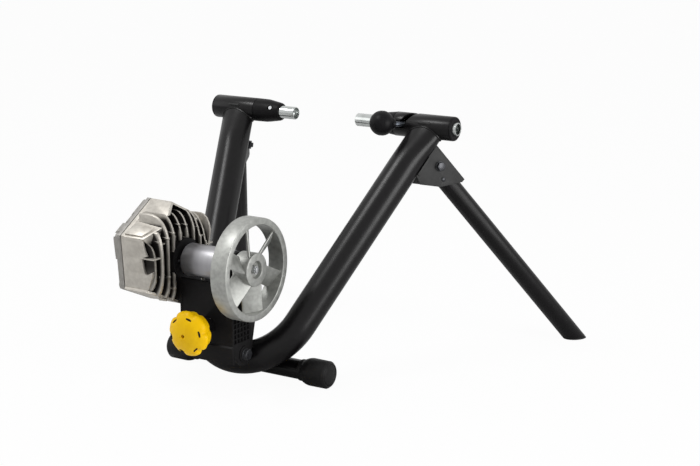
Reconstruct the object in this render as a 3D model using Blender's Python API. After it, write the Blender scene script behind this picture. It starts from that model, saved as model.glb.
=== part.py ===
"""Folding bicycle trainer with a fluid resistance unit, in metres, +Z up, +X to the lever side."""
import math

import bmesh
import bpy
from mathutils import Vector

# Frame tube, a U that leans back from the axle to the floor
AXLE_HEIGHT = 0.3683
FLOOR_GAP = 0.010
ARM_RADIUS = 0.025
ARM_WALL = 0.0022
FRAME_BACK = 0.2693236
FRAME_LEAN = math.atan2(FRAME_BACK, AXLE_HEIGHT - FLOOR_GAP - ARM_RADIUS)
ARM_HALF_SPREAD = 0.184
BEND_RADIUS = 0.094
BEND_STEPS = 12
NECK_LENGTH = 0.030
NECK_TAPER = 0.006
CLEARANCE = 0.0003
# Head tubes and the axle clamps in them
HEAD_RADIUS = 0.019
HEAD_WALL = 0.0027
HEAD_OVERHANG = 0.0422
HEAD_END = ARM_HALF_SPREAD + HEAD_OVERHANG
LEFT_SEAM = 0.1450
RIGHT_SEAM = 0.1260
NOSE_END = 0.0915
NOSE_TAPER = 0.0150
NOSE_TIP_RADIUS = 0.0145
NOSE_SPIGOT = 0.0080
CAP_THICKNESS = 0.0024
CAP_PLUG = 0.0120
AXLE_RADIUS = 0.01025
AXLE_BORE = 0.0055
CUP_RADIUS = 0.0086
CUP_DEPTH = 0.0090
LEFT_CUP = 0.0693
LEFT_AXLE_LENGTH = 0.1250
RIGHT_CUP = 0.0510
RIGHT_AXLE_STAND = 0.0078
RIGHT_AXLE_END = HEAD_END + RIGHT_AXLE_STAND
LOCK_PIN_X = 0.1180
LOCK_PIN_ELEVATION = math.radians(28.0)
LOCK_HOLE_RADIUS = 0.0045
LOCK_PIN_RADIUS = 0.0022
# Cam lever of the right axle, whose rod turns in a helical slot
LEVER_ANGLE = math.radians(8.0)
LEVER_TURN = math.radians(104.0)
LEVER_X = 0.1413
LEVER_LEAD = 0.0731
LEVER_RADIUS = 0.0042
LEVER_FIT = 0.0006
LEVER_ROOT = 0.0030
LEVER_ELBOW = 0.0265
LEVER_REACH = 0.0425
LEVER_SWEEP = 0.0196
BALL_RADIUS = 0.0195
BALL_HOLE_END = 0.0040
GUIDE_X = 0.1780
GUIDE_LENGTH = 0.0080
BUSHING_LENGTH = 0.0140
# Folding legs and their hood brackets
LEG_RADIUS = 0.0153
LEG_WALL = 0.0020
LEG_FOOT_X = 0.3438
LEG_FOOT_Y = 0.2107
HINGE_DOWN = 0.0440
LEG_ARM_GAP = 0.0024
FOOT_PAD = 0.0030
FOOT_PLUG = 0.0200
LEG_TOP_RADIUS = 0.0155
HOOD_WALL = 0.0025
HOOD_GAP = 0.0006
HOOD_RISE = 0.0300
HOOD_SKIRT = 0.0469
GUSSET_LEDGE = 0.0402
GUSSET_CORNER = 0.0437
GUSSET_MID = 0.0212
LEG_BOLT_RADIUS = 0.0040
LEG_BUSHING_RADIUS = 0.0062
LEG_HEX_FLATS = 0.0130
LEG_HEX_HEIGHT = 0.0060
HEX_WASHER = 0.0012
LEG_BOLT_TAIL = 0.0030
RIVET_DOWN = 0.0196
RIVET_OUT = 0.0091
RIVET_RADIUS = 0.0040
RIVET_SHANK = 0.0022
RIVET_HEAD = 0.0014
TAB_START = 0.0448
TAB_END = 0.0776
TAB_WIDTH = 0.0046
TAB_HEIGHT = 0.0026
# Floor cross tube and boots
CROSS_RADIUS = 0.0150
CROSS_WALL = 0.0020
BOOT_RADIUS = 0.0212
BOOT_CENTRE = 0.0205
BOOT_START = 0.0910
BOOT_END = 0.1500
BOOT_TIP = 0.0060
BOOT_RIB = 0.0008
# Resistance unit, its roller axis and its tilt pivot, back and down from the axle
UNIT_BACK = 0.3201
UNIT_HEIGHT = 0.1927
PIVOT_BACK = 0.3055
PIVOT_HEIGHT = 0.0560
PIVOT_RADIUS = 0.0050
PIVOT_HEX_FLATS = 0.0150
PIVOT_HEX_HEIGHT = 0.0070
PIVOT_TAIL = 0.0030
PIVOT_BUSHING_RADIUS = 0.0090
BOSS_RADIUS = 0.0120
BOSS_HALF_LENGTH = 0.0280
BOSS_WEB = 0.0060
BOSS_WEB_HALF_HEIGHT = 0.0090
# Moulded yoke
YOKE_LEFT = 0.0520
YOKE_RIGHT = 0.0450
YOKE_WALL = 0.0040
YOKE_REAR = 0.3330
YOKE_REAR_WALL = 0.0048
YOKE_TOP = UNIT_HEIGHT - 0.0267
YOKE_SHOULDER = YOKE_TOP - 0.0080
YOKE_BOTTOM = 0.0480
YOKE_SIDE_BACK = 0.2770
YOKE_SIDE_HEIGHT = 0.1000
LUG_RADIUS = 0.0180
LUG_RING_RADIUS = 0.0130
LUG_RING = 0.0020
SKIRT_HEIGHT = 0.0740
SKIRT_LIP = 0.0030
LEFT_UPRIGHT_RADIUS = 0.0310
RIGHT_UPRIGHT_RADIUS = 0.0230
LEFT_UPRIGHT_OUT = 0.0582
LEFT_UPRIGHT_IN = 0.0480
RIGHT_UPRIGHT_IN = 0.0385
RIGHT_UPRIGHT_OUT = 0.0488
UPRIGHT_FOOT = UNIT_HEIGHT - 0.0627
SLOT_HALF_HEIGHT = 0.0095
SLOT_SIDE_GAP = 0.0008
POCKET_ROWS = 4
POCKET_COLUMNS = 3
POCKET_PITCH = 0.0078
POCKET_SIZE = 0.0058
POCKET_DEPTH = 0.0022
POCKET_BACK = 0.3225
POCKET_BASE = 0.0800
# Shaft, roller and flywheel
SHAFT_RADIUS = 0.0060
SHAFT_LEFT = 0.1095
SHAFT_RIGHT = 0.0830
THREAD_RADIUS = 0.0040
BEARING_RADIUS = 0.0130
BEARING_WIDTH = 0.0080
STUB_RADIUS = 0.0090
ROLLER_RADIUS = 0.0248
ROLLER_LEFT = 0.0410
ROLLER_RIGHT = 0.0350
ROLLER_CHAMFER = 0.0010
FLYWHEEL_LEFT = 0.0540
FLYWHEEL_RIGHT = 0.0820
FLYWHEEL_RADIUS = 0.0767
FLYWHEEL_RIM = 0.0105
RIM_CHAMFER = 0.0015
HUB_RADIUS = 0.0250
HUB_INSET = 0.0010
HUB_RECESS_RADIUS = 0.0130
HUB_RECESS_DEPTH = 0.0070
NUT_FLATS = 0.0110
BLADE_COUNT = 6
BLADE_THICKNESS = 0.0040
BLADE_ROOT_ANGLE = math.radians(50.0)
BLADE_TIP_ANGLE = math.radians(57.0)
BLADE_CHORD = 0.0320
BLADE_PHASE = math.radians(5.0)
BLADE_SINK = 0.0040
# Fluid housing, a six-sided finned casting closed by a cover
SEAM = 0.1140
GASKET = 0.0008
HUB_FACE_RADIUS = 0.0380
CORNER_TOP = 0.0850
CORNER_UPPER = (0.0720, 0.0410)
CORNER_LOWER = (0.0650, -0.0430)
CORNER_BOTTOM = -0.0720
SIDE_STEPS = 5
CORE_START = 0.1070
CORE_ROUNDING = 0.0600
CORE_SCALES = ((CORE_START, 0.985), (0.1000, 0.92), (0.0850, 0.80), (0.0700, 0.66))
FIN_FIRST = -0.0660
FIN_NEAR_PITCH = 0.0130
FIN_NEAR_COUNT = 4
FIN_PITCH = 0.0158
FIN_COUNT = 10
FIN_THICKNESS = 0.0030
FIN_REACH = 0.0490
FIN_ROOT = 0.1120
FIN_INSET = 0.0010
FIN_DOME_RADIUS = 0.0810
FIN_DOME_EDGE = 0.0340
FIN_STEPS = 8
FIN_YOKE_GAP = 0.0015
CHAMBER_RADIUS = 0.0500
CHAMBER_FLOOR = 0.0880
SEAL_RADIUS = 0.0110
SEAL_DEPTH = 0.0080
TOP_PANEL_END = 0.0790
TOP_PANEL_HALF = 0.0240
CORNER_PANEL_END = 0.0830
CORNER_PANEL_IN = 0.0500
PANEL_DEPTH = 0.0150
SIDE_PANEL_EDGE = ((-0.0757, 0.0400), (-0.0700, 0.0200), (-0.0613, 0.0125), (-0.0765, 0.0103),
                   (-0.0730, -0.0134), (-0.0580, -0.0070), (-0.0630, -0.0247), (-0.0700, -0.0410))
COVER_SCALES = ((0.0000, 1.00), (0.0055, 1.00), (0.0095, 0.90), (0.0140, 0.66))
COVER_BOSS_RADIUS = 0.0075
COVER_BOSS_HEIGHT = 0.0120
COVER_BOSS_SCALE = 0.86
COVER_SCREW_RADIUS = 0.0018
COVER_SCREW_HEAD = 0.0036
COVER_SCREW_DEPTH = 0.0090
MOUNT_SCREW_CIRCLE = 0.0192
MOUNT_SCREW_RADIUS = 0.0016
MOUNT_SCREW_HEAD = 0.0027
MOUNT_SCREW_SINK = 0.0026
MOUNT_SCREW_COUNT = 3
IMPELLER_RADIUS = 0.0460
IMPELLER_VANES = 8
IMPELLER_DISC = (0.0940, 0.0975)
IMPELLER_VANE_END = 0.1070
IMPELLER_HUB_RADIUS = 0.0120
# Clutch screw and knob that press the roller to the tyre
KNOB_BACK = 0.3720
KNOB_HEIGHT = 0.0990
CLUTCH_DROOP = math.radians(4.0)
SCREW_RADIUS = 0.0040
KNOB_RADIUS = 0.0340
KNOB_DEPTH = 0.0310
KNOB_TIP = 0.0225
KNOB_HOLE = 0.0028
KNOB_LOBES = 6
KNOB_LOBE_DEPTH = 0.0022
KNOB_CUP_RADIUS = 0.0210
KNOB_CUP_DEPTH = 0.0180
SEAT_RADIUS = 0.0120
SEAT_COLLAR_RADIUS = 0.0160
SEAT_GAP = 0.0005
TRUNNION_BACK = 0.2520
TRUNNION_RADIUS = 0.0070
TRUNNION_PIN = 0.0040
CHEEK_INNER = 0.0100
CHEEK_THICKNESS = 0.0030
CHEEK_HALF_WIDTH = 0.0110
BRIDGE_HEIGHT = 0.0700
BRIDGE_THICKNESS = 0.0040
SPRING_COIL_RADIUS = 0.0105
SPRING_WIRE_RADIUS = 0.0011
SPRING_TURNS = 8
SPRING_LENGTH = 0.0550
SPRING_POINTS = 8

X = Vector((1.0, 0.0, 0.0))
Y = Vector((0.0, 1.0, 0.0))
Z = Vector((0.0, 0.0, 1.0))
DOWN_FRAME = Vector((0.0, -math.sin(FRAME_LEAN), -math.cos(FRAME_LEAN)))
OUT_FRAME = Vector((0.0, -math.cos(FRAME_LEAN), math.sin(FRAME_LEAN)))
LOWEST_S = (AXLE_HEIGHT - FLOOR_GAP - ARM_RADIUS) / math.cos(FRAME_LEAN)
BEND_S = LOWEST_S - BEND_RADIUS
SPLAY = (math.acos(BEND_RADIUS / math.hypot(BEND_S, ARM_HALF_SPREAD))
         - math.atan2(BEND_S, ARM_HALF_SPREAD))

# The leg hinge, first with the axle at Y = 0: down the arm, out to the leg and the bolt's direction
ARM_DOWN = -math.sin(SPLAY) * X + math.cos(SPLAY) * DOWN_FRAME
ARM_TOP = Vector((ARM_HALF_SPREAD, 0.0, AXLE_HEIGHT))
FOOT_REACH = Vector((LEG_FOOT_X, LEG_FOOT_Y, 0.0)) - ARM_TOP
LEG_OUT = (FOOT_REACH - FOOT_REACH.dot(ARM_DOWN) * ARM_DOWN).normalized()
BOLT_AXIS = ARM_DOWN.cross(LEG_OUT)
HINGE_OUT = ARM_RADIUS + LEG_RADIUS + LEG_ARM_GAP
HINGE_REACH = ARM_DOWN * HINGE_DOWN + LEG_OUT * HINGE_OUT
LEG_SPAN = FOOT_REACH - HINGE_REACH
LEG_DOWN = LEG_SPAN.normalized()
FOLD_SIDE = LEG_DOWN.cross(BOLT_AXIS)

# The axle stands where the part's box is centred front to back
FOOT_SLOPE = Vector((LEG_DOWN.x, LEG_DOWN.y)).normalized()
FOOT_FRONT = LEG_FOOT_Y + LEG_RADIUS * math.hypot(FOOT_SLOPE.y / LEG_DOWN.z, FOOT_SLOPE.x)
REAR_REACH = max(KNOB_BACK + KNOB_TIP * math.cos(CLUTCH_DROOP), UNIT_BACK + FLYWHEEL_RADIUS,
                 UNIT_BACK + CORNER_UPPER[0])
AXLE = Vector((0.0, (REAR_REACH - FOOT_FRONT) / 2, AXLE_HEIGHT))
UNIT = Vector((0.0, AXLE.y - UNIT_BACK, UNIT_HEIGHT))
PIVOT = Vector((0.0, AXLE.y - PIVOT_BACK, PIVOT_HEIGHT))
FRAME_LOW = AXLE + DOWN_FRAME * LOWEST_S
KNOB = Vector((0.0, AXLE.y - KNOB_BACK, KNOB_HEIGHT))
CLUTCH_OUT = Vector((0.0, -math.cos(CLUTCH_DROOP), -math.sin(CLUTCH_DROOP)))
CLUTCH_UP = X.cross(CLUTCH_OUT)

BLACK_PAINT = (0.012, 0.012, 0.013, 1.0)
BLACK_PLASTIC = (0.018, 0.018, 0.019, 1.0)
STEEL = (0.60, 0.61, 0.62, 1.0)
CAST = (0.50, 0.48, 0.44, 1.0)
YELLOW = (0.85, 0.55, 0.01, 1.0)
BRASS = (0.60, 0.45, 0.20, 1.0)
PAINTED = (BLACK_PAINT, 0.38, 0.0)
MOULDED = (BLACK_PLASTIC, 0.55, 0.0)
BRIGHT = (STEEL, 0.22, 1.0)
DARK_STEEL = ((0.05, 0.05, 0.055, 1.0), 0.40, 1.0)
CASTING = (CAST, 0.50, 1.0)
RUBBER = ((0.010, 0.010, 0.010, 1.0), 0.80, 0.0)
BRONZE = (BRASS, 0.35, 1.0)
KNOB_PLASTIC = (YELLOW, 0.35, 0.0)


def polar(centre, first, second, radius, angle):
    """A point on a circle in the plane of two directions."""
    return centre + radius * (math.cos(angle) * first + math.sin(angle) * second)


def side_axes(axis):
    """Two directions square to an axis, the first one level or along Y."""
    helper = Z if abs(axis.z) < 0.9 else Y
    first = axis.cross(helper).normalized()
    return first, axis.cross(first).normalized()


def circle(centre, first, second, radius, count, phase=0.0):
    """Points round a circle."""
    return [polar(centre, first, second, radius, phase + math.tau * i / count) for i in range(count)]


def skin(rings, loop=False):
    """Faces between rings of equal counts, closed by caps or, for a loop, back onto the first ring."""
    shape = bmesh.new()
    rows = [[shape.verts.new(point) for point in ring] for ring in rings]
    pairs = list(zip(rows, rows[1:] + rows[:1]))
    for low, high in pairs if loop else pairs[:-1]:
        for i, vert in enumerate(low):
            j = (i + 1) % len(low)
            shape.faces.new((vert, low[j], high[j], high[i]))
    if not loop:
        shape.faces.new(rows[0])
        shape.faces.new(rows[-1])
    return shape


def merged(shapes):
    """One bmesh from several."""
    whole = bmesh.new()
    for shape in shapes:
        carrier = bpy.data.meshes.new("carrier")
        shape.to_mesh(carrier)
        shape.free()
        whole.from_mesh(carrier)
        bpy.data.meshes.remove(carrier)
    return whole


def turned(profile, origin, axis, sides, loop=True, phase=0.0):
    """Turn (along, radius) points round an axis: a closed ring, or a solid with flat ends."""
    first, second = side_axes(axis)
    rings = [circle(origin + axis * along, first, second, radius, sides, phase) for along, radius in profile]
    return skin(rings, loop)


def sleeve(origin, axis, start, end, outer, inner, sides=24, chamfer=0.0):
    """A tube with an optional chamfer on its outer edges."""
    profile = [(start, outer - chamfer)] if chamfer else []
    profile += [(start + chamfer, outer), (end - chamfer, outer)]
    profile += [(end, outer - chamfer)] if chamfer else []
    return turned(profile + [(end, inner), (start, inner)], origin, axis, sides)


def rod(origin, axis, start, end, radius, sides=20):
    """A plain cylinder."""
    return turned([(start, radius), (end, radius)], origin, axis, sides, loop=False)


def prism(outline, origin, first, second, along, start, end):
    """An outline of (first, second) points, pulled along a third direction."""
    base = [origin + first * a + second * b for a, b in outline]
    return skin([[point + along * start for point in base], [point + along * end for point in base]])


def box(low, high):
    """An upright box between two corners."""
    outline = [(low[0], low[1]), (high[0], low[1]), (high[0], high[1]), (low[0], high[1])]
    return prism(outline, Vector(), X, Y, Z, low[2], high[2])


def hex_radius(flats, angle):
    """Distance from a hexagon's centre to its edge."""
    step = math.radians(60.0)
    return flats / 2 / math.cos((angle % step) - step / 2)


def hex_ring(centre, first, second, flats, count=12):
    """Points round a hexagon, corners included."""
    angles = [math.tau * i / count for i in range(count)]
    return [polar(centre, first, second, hex_radius(flats, angle), angle) for angle in angles]


def hex_bolt(origin, axis, head_at, head, flats, tail_at, radius):
    """A flanged hexagon bolt: its head's seat is at head_at and its tail at tail_at along the axis."""
    first, second = side_axes(axis)
    washer = flats * 0.62
    rings = [hex_ring(origin + axis * (head_at + head), first, second, flats * 0.94)]
    rings.append(hex_ring(origin + axis * (head_at + head * 0.85), first, second, flats))
    rings.append(hex_ring(origin + axis * (head_at + HEX_WASHER), first, second, flats))
    for along, size in ((HEX_WASHER, washer), (0.0, washer), (0.0, radius)):
        rings.append(circle(origin + axis * (head_at + along), first, second, size, 12))
    rings.append(circle(origin + axis * tail_at, first, second, radius, 12))
    return skin(rings)


def hex_nut(origin, axis, start, end, flats, bore):
    """A plain hexagon nut."""
    first, second = side_axes(axis)
    rings = [hex_ring(origin + axis * start, first, second, flats)]
    rings.append(hex_ring(origin + axis * end, first, second, flats))
    rings.append(circle(origin + axis * end, first, second, bore, 12))
    rings.append(circle(origin + axis * start, first, second, bore, 12))
    return skin(rings, loop=True)


def place(name, shape, pivot=None):
    """Make an object of a bmesh, its faces turned outward and its origin on the pivot."""
    origin = Vector(pivot) if pivot else Vector()
    quads = [face for face in shape.faces if len(face.verts) == 4]
    bmesh.ops.connect_verts_nonplanar(shape, angle_limit=0.0005, faces=quads)
    bmesh.ops.recalc_face_normals(shape, faces=shape.faces)
    bmesh.ops.translate(shape, vec=-origin, verts=shape.verts)
    mesh = bpy.data.meshes.new(name)
    shape.to_mesh(mesh)
    shape.free()
    mesh.shade_smooth()
    mesh.set_sharp_from_angle(angle=math.radians(30.0))
    item = bpy.data.objects.new(name, mesh)
    item.location = origin
    bpy.context.scene.collection.objects.link(item)
    return item


def piece(name, shape, finish, pivot=None):
    """A visible piece with its own material."""
    item = place(name, shape, pivot)
    colour, roughness, metallic = finish
    material = bpy.data.materials.new(name)
    material.use_nodes = True
    shader = material.node_tree.nodes["Principled BSDF"]
    shader.inputs["Base Color"].default_value = colour
    shader.inputs["Roughness"].default_value = roughness
    shader.inputs["Metallic"].default_value = metallic
    item.data.materials.append(material)
    return item


def tool(item, shape, operation):
    """Cut a hidden shape from a piece, or fuse it on."""
    helper = place(f"{item.name}_{operation.lower()}_{len(item.modifiers)}", shape)
    helper.hide_render = True
    helper.display_type = "WIRE"
    modifier = item.modifiers.new(helper.name, "BOOLEAN")
    modifier.operation = operation
    modifier.solver = "EXACT"
    modifier.object = helper


def cut(item, *shapes):
    for shape in shapes:
        tool(item, shape, "DIFFERENCE")


def fuse(item, *shapes):
    for shape in shapes:
        tool(item, shape, "UNION")


def mirrored(vector, side):
    """The same direction or point on the other side of the part."""
    return Vector((vector.x * side, vector.y, vector.z))


def frame_ring(x, s, angle, radius, flat_end=False):
    """A ring of the frame tube at (x, s) in the leaning plane, square to its run."""
    outward = math.cos(angle) * X + math.sin(angle) * DOWN_FRAME
    run = -math.sin(angle) * X + math.cos(angle) * DOWN_FRAME
    centre = AXLE + X * x + DOWN_FRAME * s
    ring = circle(centre, outward, OUT_FRAME, radius, 20)
    if flat_end:
        ring = [point - run * ((point - AXLE).dot(DOWN_FRAME) / math.cos(angle)) for point in ring]
    return ring


def frame_stations():
    """Places down the right arm, round the bend and up the left arm: x, s, angle, bore scale, flat end."""
    half = []
    for along, necked, flat_end in ((0.0, True, True), (NECK_LENGTH, True, False),
                                    (NECK_LENGTH + NECK_TAPER, False, False)):
        x = ARM_HALF_SPREAD - math.sin(SPLAY) * along
        half.append((x, math.cos(SPLAY) * along, SPLAY, necked, flat_end))
    sweep = math.pi - 2 * SPLAY
    bend = []
    for step in range(BEND_STEPS + 1):
        angle = SPLAY + sweep * step / BEND_STEPS
        x = BEND_RADIUS * math.cos(angle)
        bend.append((x, BEND_S + BEND_RADIUS * math.sin(angle), angle, False, False))
    other = [(-x, s, math.pi - angle, necked, flat) for x, s, angle, necked, flat in reversed(half)]
    return half + bend + other


def bend_solid(radius):
    """The bend of the frame tube as a solid, to cut what is welded on it."""
    stations = frame_stations()[3:-3]
    return skin([frame_ring(x, s, angle, radius) for x, s, angle, _, _ in stations])


def build_main_tube():
    bore = ARM_RADIUS - ARM_WALL
    neck = HEAD_RADIUS - 0.002
    stations = frame_stations()
    outer = [frame_ring(x, s, angle, ARM_RADIUS, flat) for x, s, angle, _, flat in stations]
    inner = [frame_ring(x, s, angle, neck if necked else bore, flat) for x, s, angle, necked, flat in stations]
    item = piece("main_tube", skin(outer + inner[::-1], loop=True), PAINTED)
    cut(item, rod(AXLE, X, -HEAD_END, HEAD_END, HEAD_RADIUS + CLEARANCE, 24))


def slot_cutter():
    """The helical slot that the lever's rod runs along."""
    bore = HEAD_RADIUS - HEAD_WALL
    lead = LEVER_LEAD / math.tau
    width = (LEVER_RADIUS + LEVER_FIT) / math.cos(math.atan2(lead, bore))
    pad = 1.25 * LEVER_RADIUS / bore
    turns = [-0.999, -0.9, -0.7, -0.35]
    angles = [(pad * t, math.sqrt(1 - t * t)) for t in turns]
    angles += [(LEVER_TURN * i / 10, 1.0) for i in range(11)]
    angles += [(LEVER_TURN - pad * t, math.sqrt(1 - t * t)) for t in reversed(turns)]
    rings = []
    for turn, scale in angles:
        ray = -math.cos(LEVER_ANGLE + turn) * Y + math.sin(LEVER_ANGLE + turn) * Z
        middle = AXLE + X * (LEVER_X + lead * min(max(turn, 0.0), LEVER_TURN))
        half = width * scale
        inner, outer = bore - 0.002, HEAD_RADIUS + 0.002
        rings.append([middle - X * half + ray * inner, middle + X * half + ray * inner,
                      middle + X * half + ray * outer, middle - X * half + ray * outer])
    return skin(rings)


def nose_profile(seam):
    """The sleeve that closes a head tube round its axle, from its rounded tip to its spigot."""
    bore = AXLE_RADIUS + CLEARANCE
    spigot = HEAD_RADIUS - HEAD_WALL - CLEARANCE
    start = seam - CLEARANCE
    profile = []
    for step in range(4):
        turn = math.pi / 2 * step / 3
        along = NOSE_END + NOSE_TAPER * (1 - math.cos(turn))
        profile.append((along, NOSE_TIP_RADIUS + (HEAD_RADIUS - NOSE_TIP_RADIUS) * math.sin(turn)))
    profile += [(start, HEAD_RADIUS), (start, spigot), (seam + NOSE_SPIGOT, spigot)]
    return profile + [(seam + NOSE_SPIGOT, bore), (NOSE_END, bore)]


def axle_profile(cup, end):
    """A steel axle tube with a dished cup at its inner end."""
    edge = 0.0008
    profile = [(cup, AXLE_RADIUS - edge), (cup + edge, AXLE_RADIUS), (end - edge, AXLE_RADIUS)]
    profile += [(end, AXLE_RADIUS - edge), (end, AXLE_BORE), (cup + CUP_DEPTH, AXLE_BORE)]
    return profile + [(cup + CUP_DEPTH * 0.55, CUP_RADIUS * 0.86), (cup, CUP_RADIUS)]


def build_left_head():
    bore = HEAD_RADIUS - HEAD_WALL
    piece("left_head_tube", sleeve(AXLE, -X, LEFT_SEAM, HEAD_END, HEAD_RADIUS, bore, 24), PAINTED)
    nose = piece("left_nose_sleeve", turned(nose_profile(LEFT_SEAM), AXLE, -X, 24), MOULDED)
    ray = -math.cos(LOCK_PIN_ELEVATION) * Y + math.sin(LOCK_PIN_ELEVATION) * Z
    lock = AXLE - X * LOCK_PIN_X
    cut(nose, rod(lock, ray, AXLE_RADIUS - 0.001, HEAD_RADIUS + 0.002, LOCK_HOLE_RADIUS, 16))
    seat = AXLE_RADIUS + CLEARANCE
    lock_profile = [(seat, LOCK_PIN_RADIUS), (HEAD_RADIUS - 0.003, LOCK_PIN_RADIUS)]
    lock_profile += [(HEAD_RADIUS - 0.003, LOCK_HOLE_RADIUS - CLEARANCE)]
    lock_profile += [(HEAD_RADIUS - 0.0012, LOCK_HOLE_RADIUS - CLEARANCE)]
    piece("left_lock_pin", turned(lock_profile, lock, ray, 12, loop=False), DARK_STEEL)
    flange = HEAD_END + CLEARANCE
    plug = bore - CLEARANCE
    cap = [(flange - CAP_PLUG, plug), (flange, plug), (flange, HEAD_RADIUS - 0.0002)]
    cap += [(flange + CAP_THICKNESS * 0.5, HEAD_RADIUS - 0.0002), (flange + CAP_THICKNESS, HEAD_RADIUS - 0.0018)]
    piece("left_end_cap", turned(cap, AXLE, -X, 24, loop=False), MOULDED)
    profile = axle_profile(LEFT_CUP, LEFT_CUP + LEFT_AXLE_LENGTH)
    piece("left_axle", turned(profile, AXLE, -X, 20), BRIGHT, AXLE - X * LEFT_CUP)


def build_right_head():
    bore = HEAD_RADIUS - HEAD_WALL
    head = piece("right_head_tube", sleeve(AXLE, X, RIGHT_SEAM, HEAD_END, HEAD_RADIUS, bore, 24), PAINTED)
    cut(head, slot_cutter())
    piece("right_nose_sleeve", turned(nose_profile(RIGHT_SEAM), AXLE, X, 24), MOULDED)
    flange = HEAD_END + CLEARANCE
    plug = bore - CLEARANCE
    hole = AXLE_RADIUS + CLEARANCE
    bushing = [(flange - BUSHING_LENGTH, plug), (flange, plug), (flange, HEAD_RADIUS - 0.0002)]
    bushing += [(flange + CAP_THICKNESS, HEAD_RADIUS - 0.0010), (flange + CAP_THICKNESS, hole)]
    piece("right_end_bushing", turned(bushing + [(flange - BUSHING_LENGTH, hole)], AXLE, X, 24), MOULDED)
    guide = sleeve(AXLE, X, GUIDE_X, GUIDE_X + GUIDE_LENGTH, plug, hole, 24)
    piece("right_axle_guide", guide, MOULDED, AXLE + X * GUIDE_X)


def lever_path():
    """The lever's centre line from the axle's bore, round its elbow, into the ball."""
    ray = -math.cos(LEVER_ANGLE) * Y + math.sin(LEVER_ANGLE) * Z
    base = AXLE + X * LEVER_X
    ball = base - X * LEVER_SWEEP + ray * LEVER_REACH
    elbow = base + ray * LEVER_ELBOW
    toward = (ball - elbow).normalized()
    reach = 0.006
    start, finish = elbow - ray * reach, elbow + toward * reach
    path = [base + ray * LEVER_ROOT]
    for step in range(5):
        t = step / 4
        path.append(start * (1 - t) ** 2 + elbow * 2 * t * (1 - t) + finish * t ** 2)
    path.append(ball - toward * (BALL_HOLE_END + CLEARANCE))
    return path, ball, toward, ray


def piped(path, radius, sides, side):
    """A round rod along a flat path, square to the direction side."""
    rings = []
    for i, point in enumerate(path):
        before = path[max(i - 1, 0)]
        after = path[min(i + 1, len(path) - 1)]
        run = (after - before).normalized()
        rings.append(circle(point, side, run.cross(side).normalized(), radius, sides))
    return skin(rings)


def build_right_axle():
    path, ball, toward, ray = lever_path()
    centre = AXLE + X * GUIDE_X
    axle = piece("right_axle", turned(axle_profile(RIGHT_CUP, RIGHT_AXLE_END), AXLE, X, 20), BRIGHT, centre)
    hole = LEVER_RADIUS + CLEARANCE
    cut(axle, rod(AXLE + X * LEVER_X, ray, 0.0, AXLE_RADIUS + 0.002, hole, 20))
    piece("lever_rod", piped(path, LEVER_RADIUS, 14, X.cross(ray)), DARK_STEEL, centre)
    sphere = []
    for step in range(1, 10):
        turn = math.pi * step / 10
        sphere.append((-BALL_RADIUS * math.cos(turn), BALL_RADIUS * math.sin(turn)))
    knob = piece("lever_ball", turned(sphere, ball, toward, 20, loop=False), MOULDED, centre)
    cut(knob, rod(ball, -toward, BALL_HOLE_END, BALL_RADIUS + 0.002, hole, 16))


def build_cross_tube():
    low = FRAME_LOW.z - BOOT_CENTRE
    contact = ARM_RADIUS + CROSS_RADIUS + CLEARANCE
    centre = Vector((0.0, FRAME_LOW.y + math.sqrt(contact ** 2 - low ** 2), BOOT_CENTRE))
    end = BOOT_END - 0.004
    shape = sleeve(centre, X, -end, end, CROSS_RADIUS, CROSS_RADIUS - CROSS_WALL, 20)
    cut(piece("cross_tube", shape, PAINTED), bend_solid(ARM_RADIUS + CLEARANCE))
    bore = CROSS_RADIUS + CLEARANCE
    edge = 0.001
    for name, side in (("left_boot", -1), ("right_boot", 1)):
        profile = [(end + CLEARANCE, 0.004), (end + CLEARANCE, bore), (BOOT_START, bore)]
        profile += [(BOOT_START, BOOT_RADIUS - edge), (BOOT_START + edge, BOOT_RADIUS)]
        for rib in range(3):
            along = BOOT_START + 0.008 + 0.010 * rib
            profile += [(along, BOOT_RADIUS), (along + 2 * edge, BOOT_RADIUS - BOOT_RIB)]
            profile += [(along + 4 * edge, BOOT_RADIUS)]
        for step in range(4):
            turn = math.pi / 2 * step / 3
            along = BOOT_END - BOOT_TIP * (1 - math.sin(turn))
            profile.append((along, BOOT_RADIUS - BOOT_TIP * (1 - math.cos(turn))))
        boot = piece(name, turned(profile, centre, X * side, 20, loop=False), RUBBER)
        cut(boot, box((-1.0, centre.y - 0.05, -0.05), (1.0, centre.y + 0.05, 0.0)))


def leg_ring(hinge, down, bolt, fold, radius, along):
    """A ring of the leg; along maps its sideways offset to its distance down the leg."""
    ring = []
    for step in range(18):
        angle = math.tau * step / 18
        offset = radius * math.cos(angle)
        flat = hinge + fold * offset + bolt * (radius * math.sin(angle))
        ring.append(flat + down * along(offset, flat))
    return ring


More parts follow.
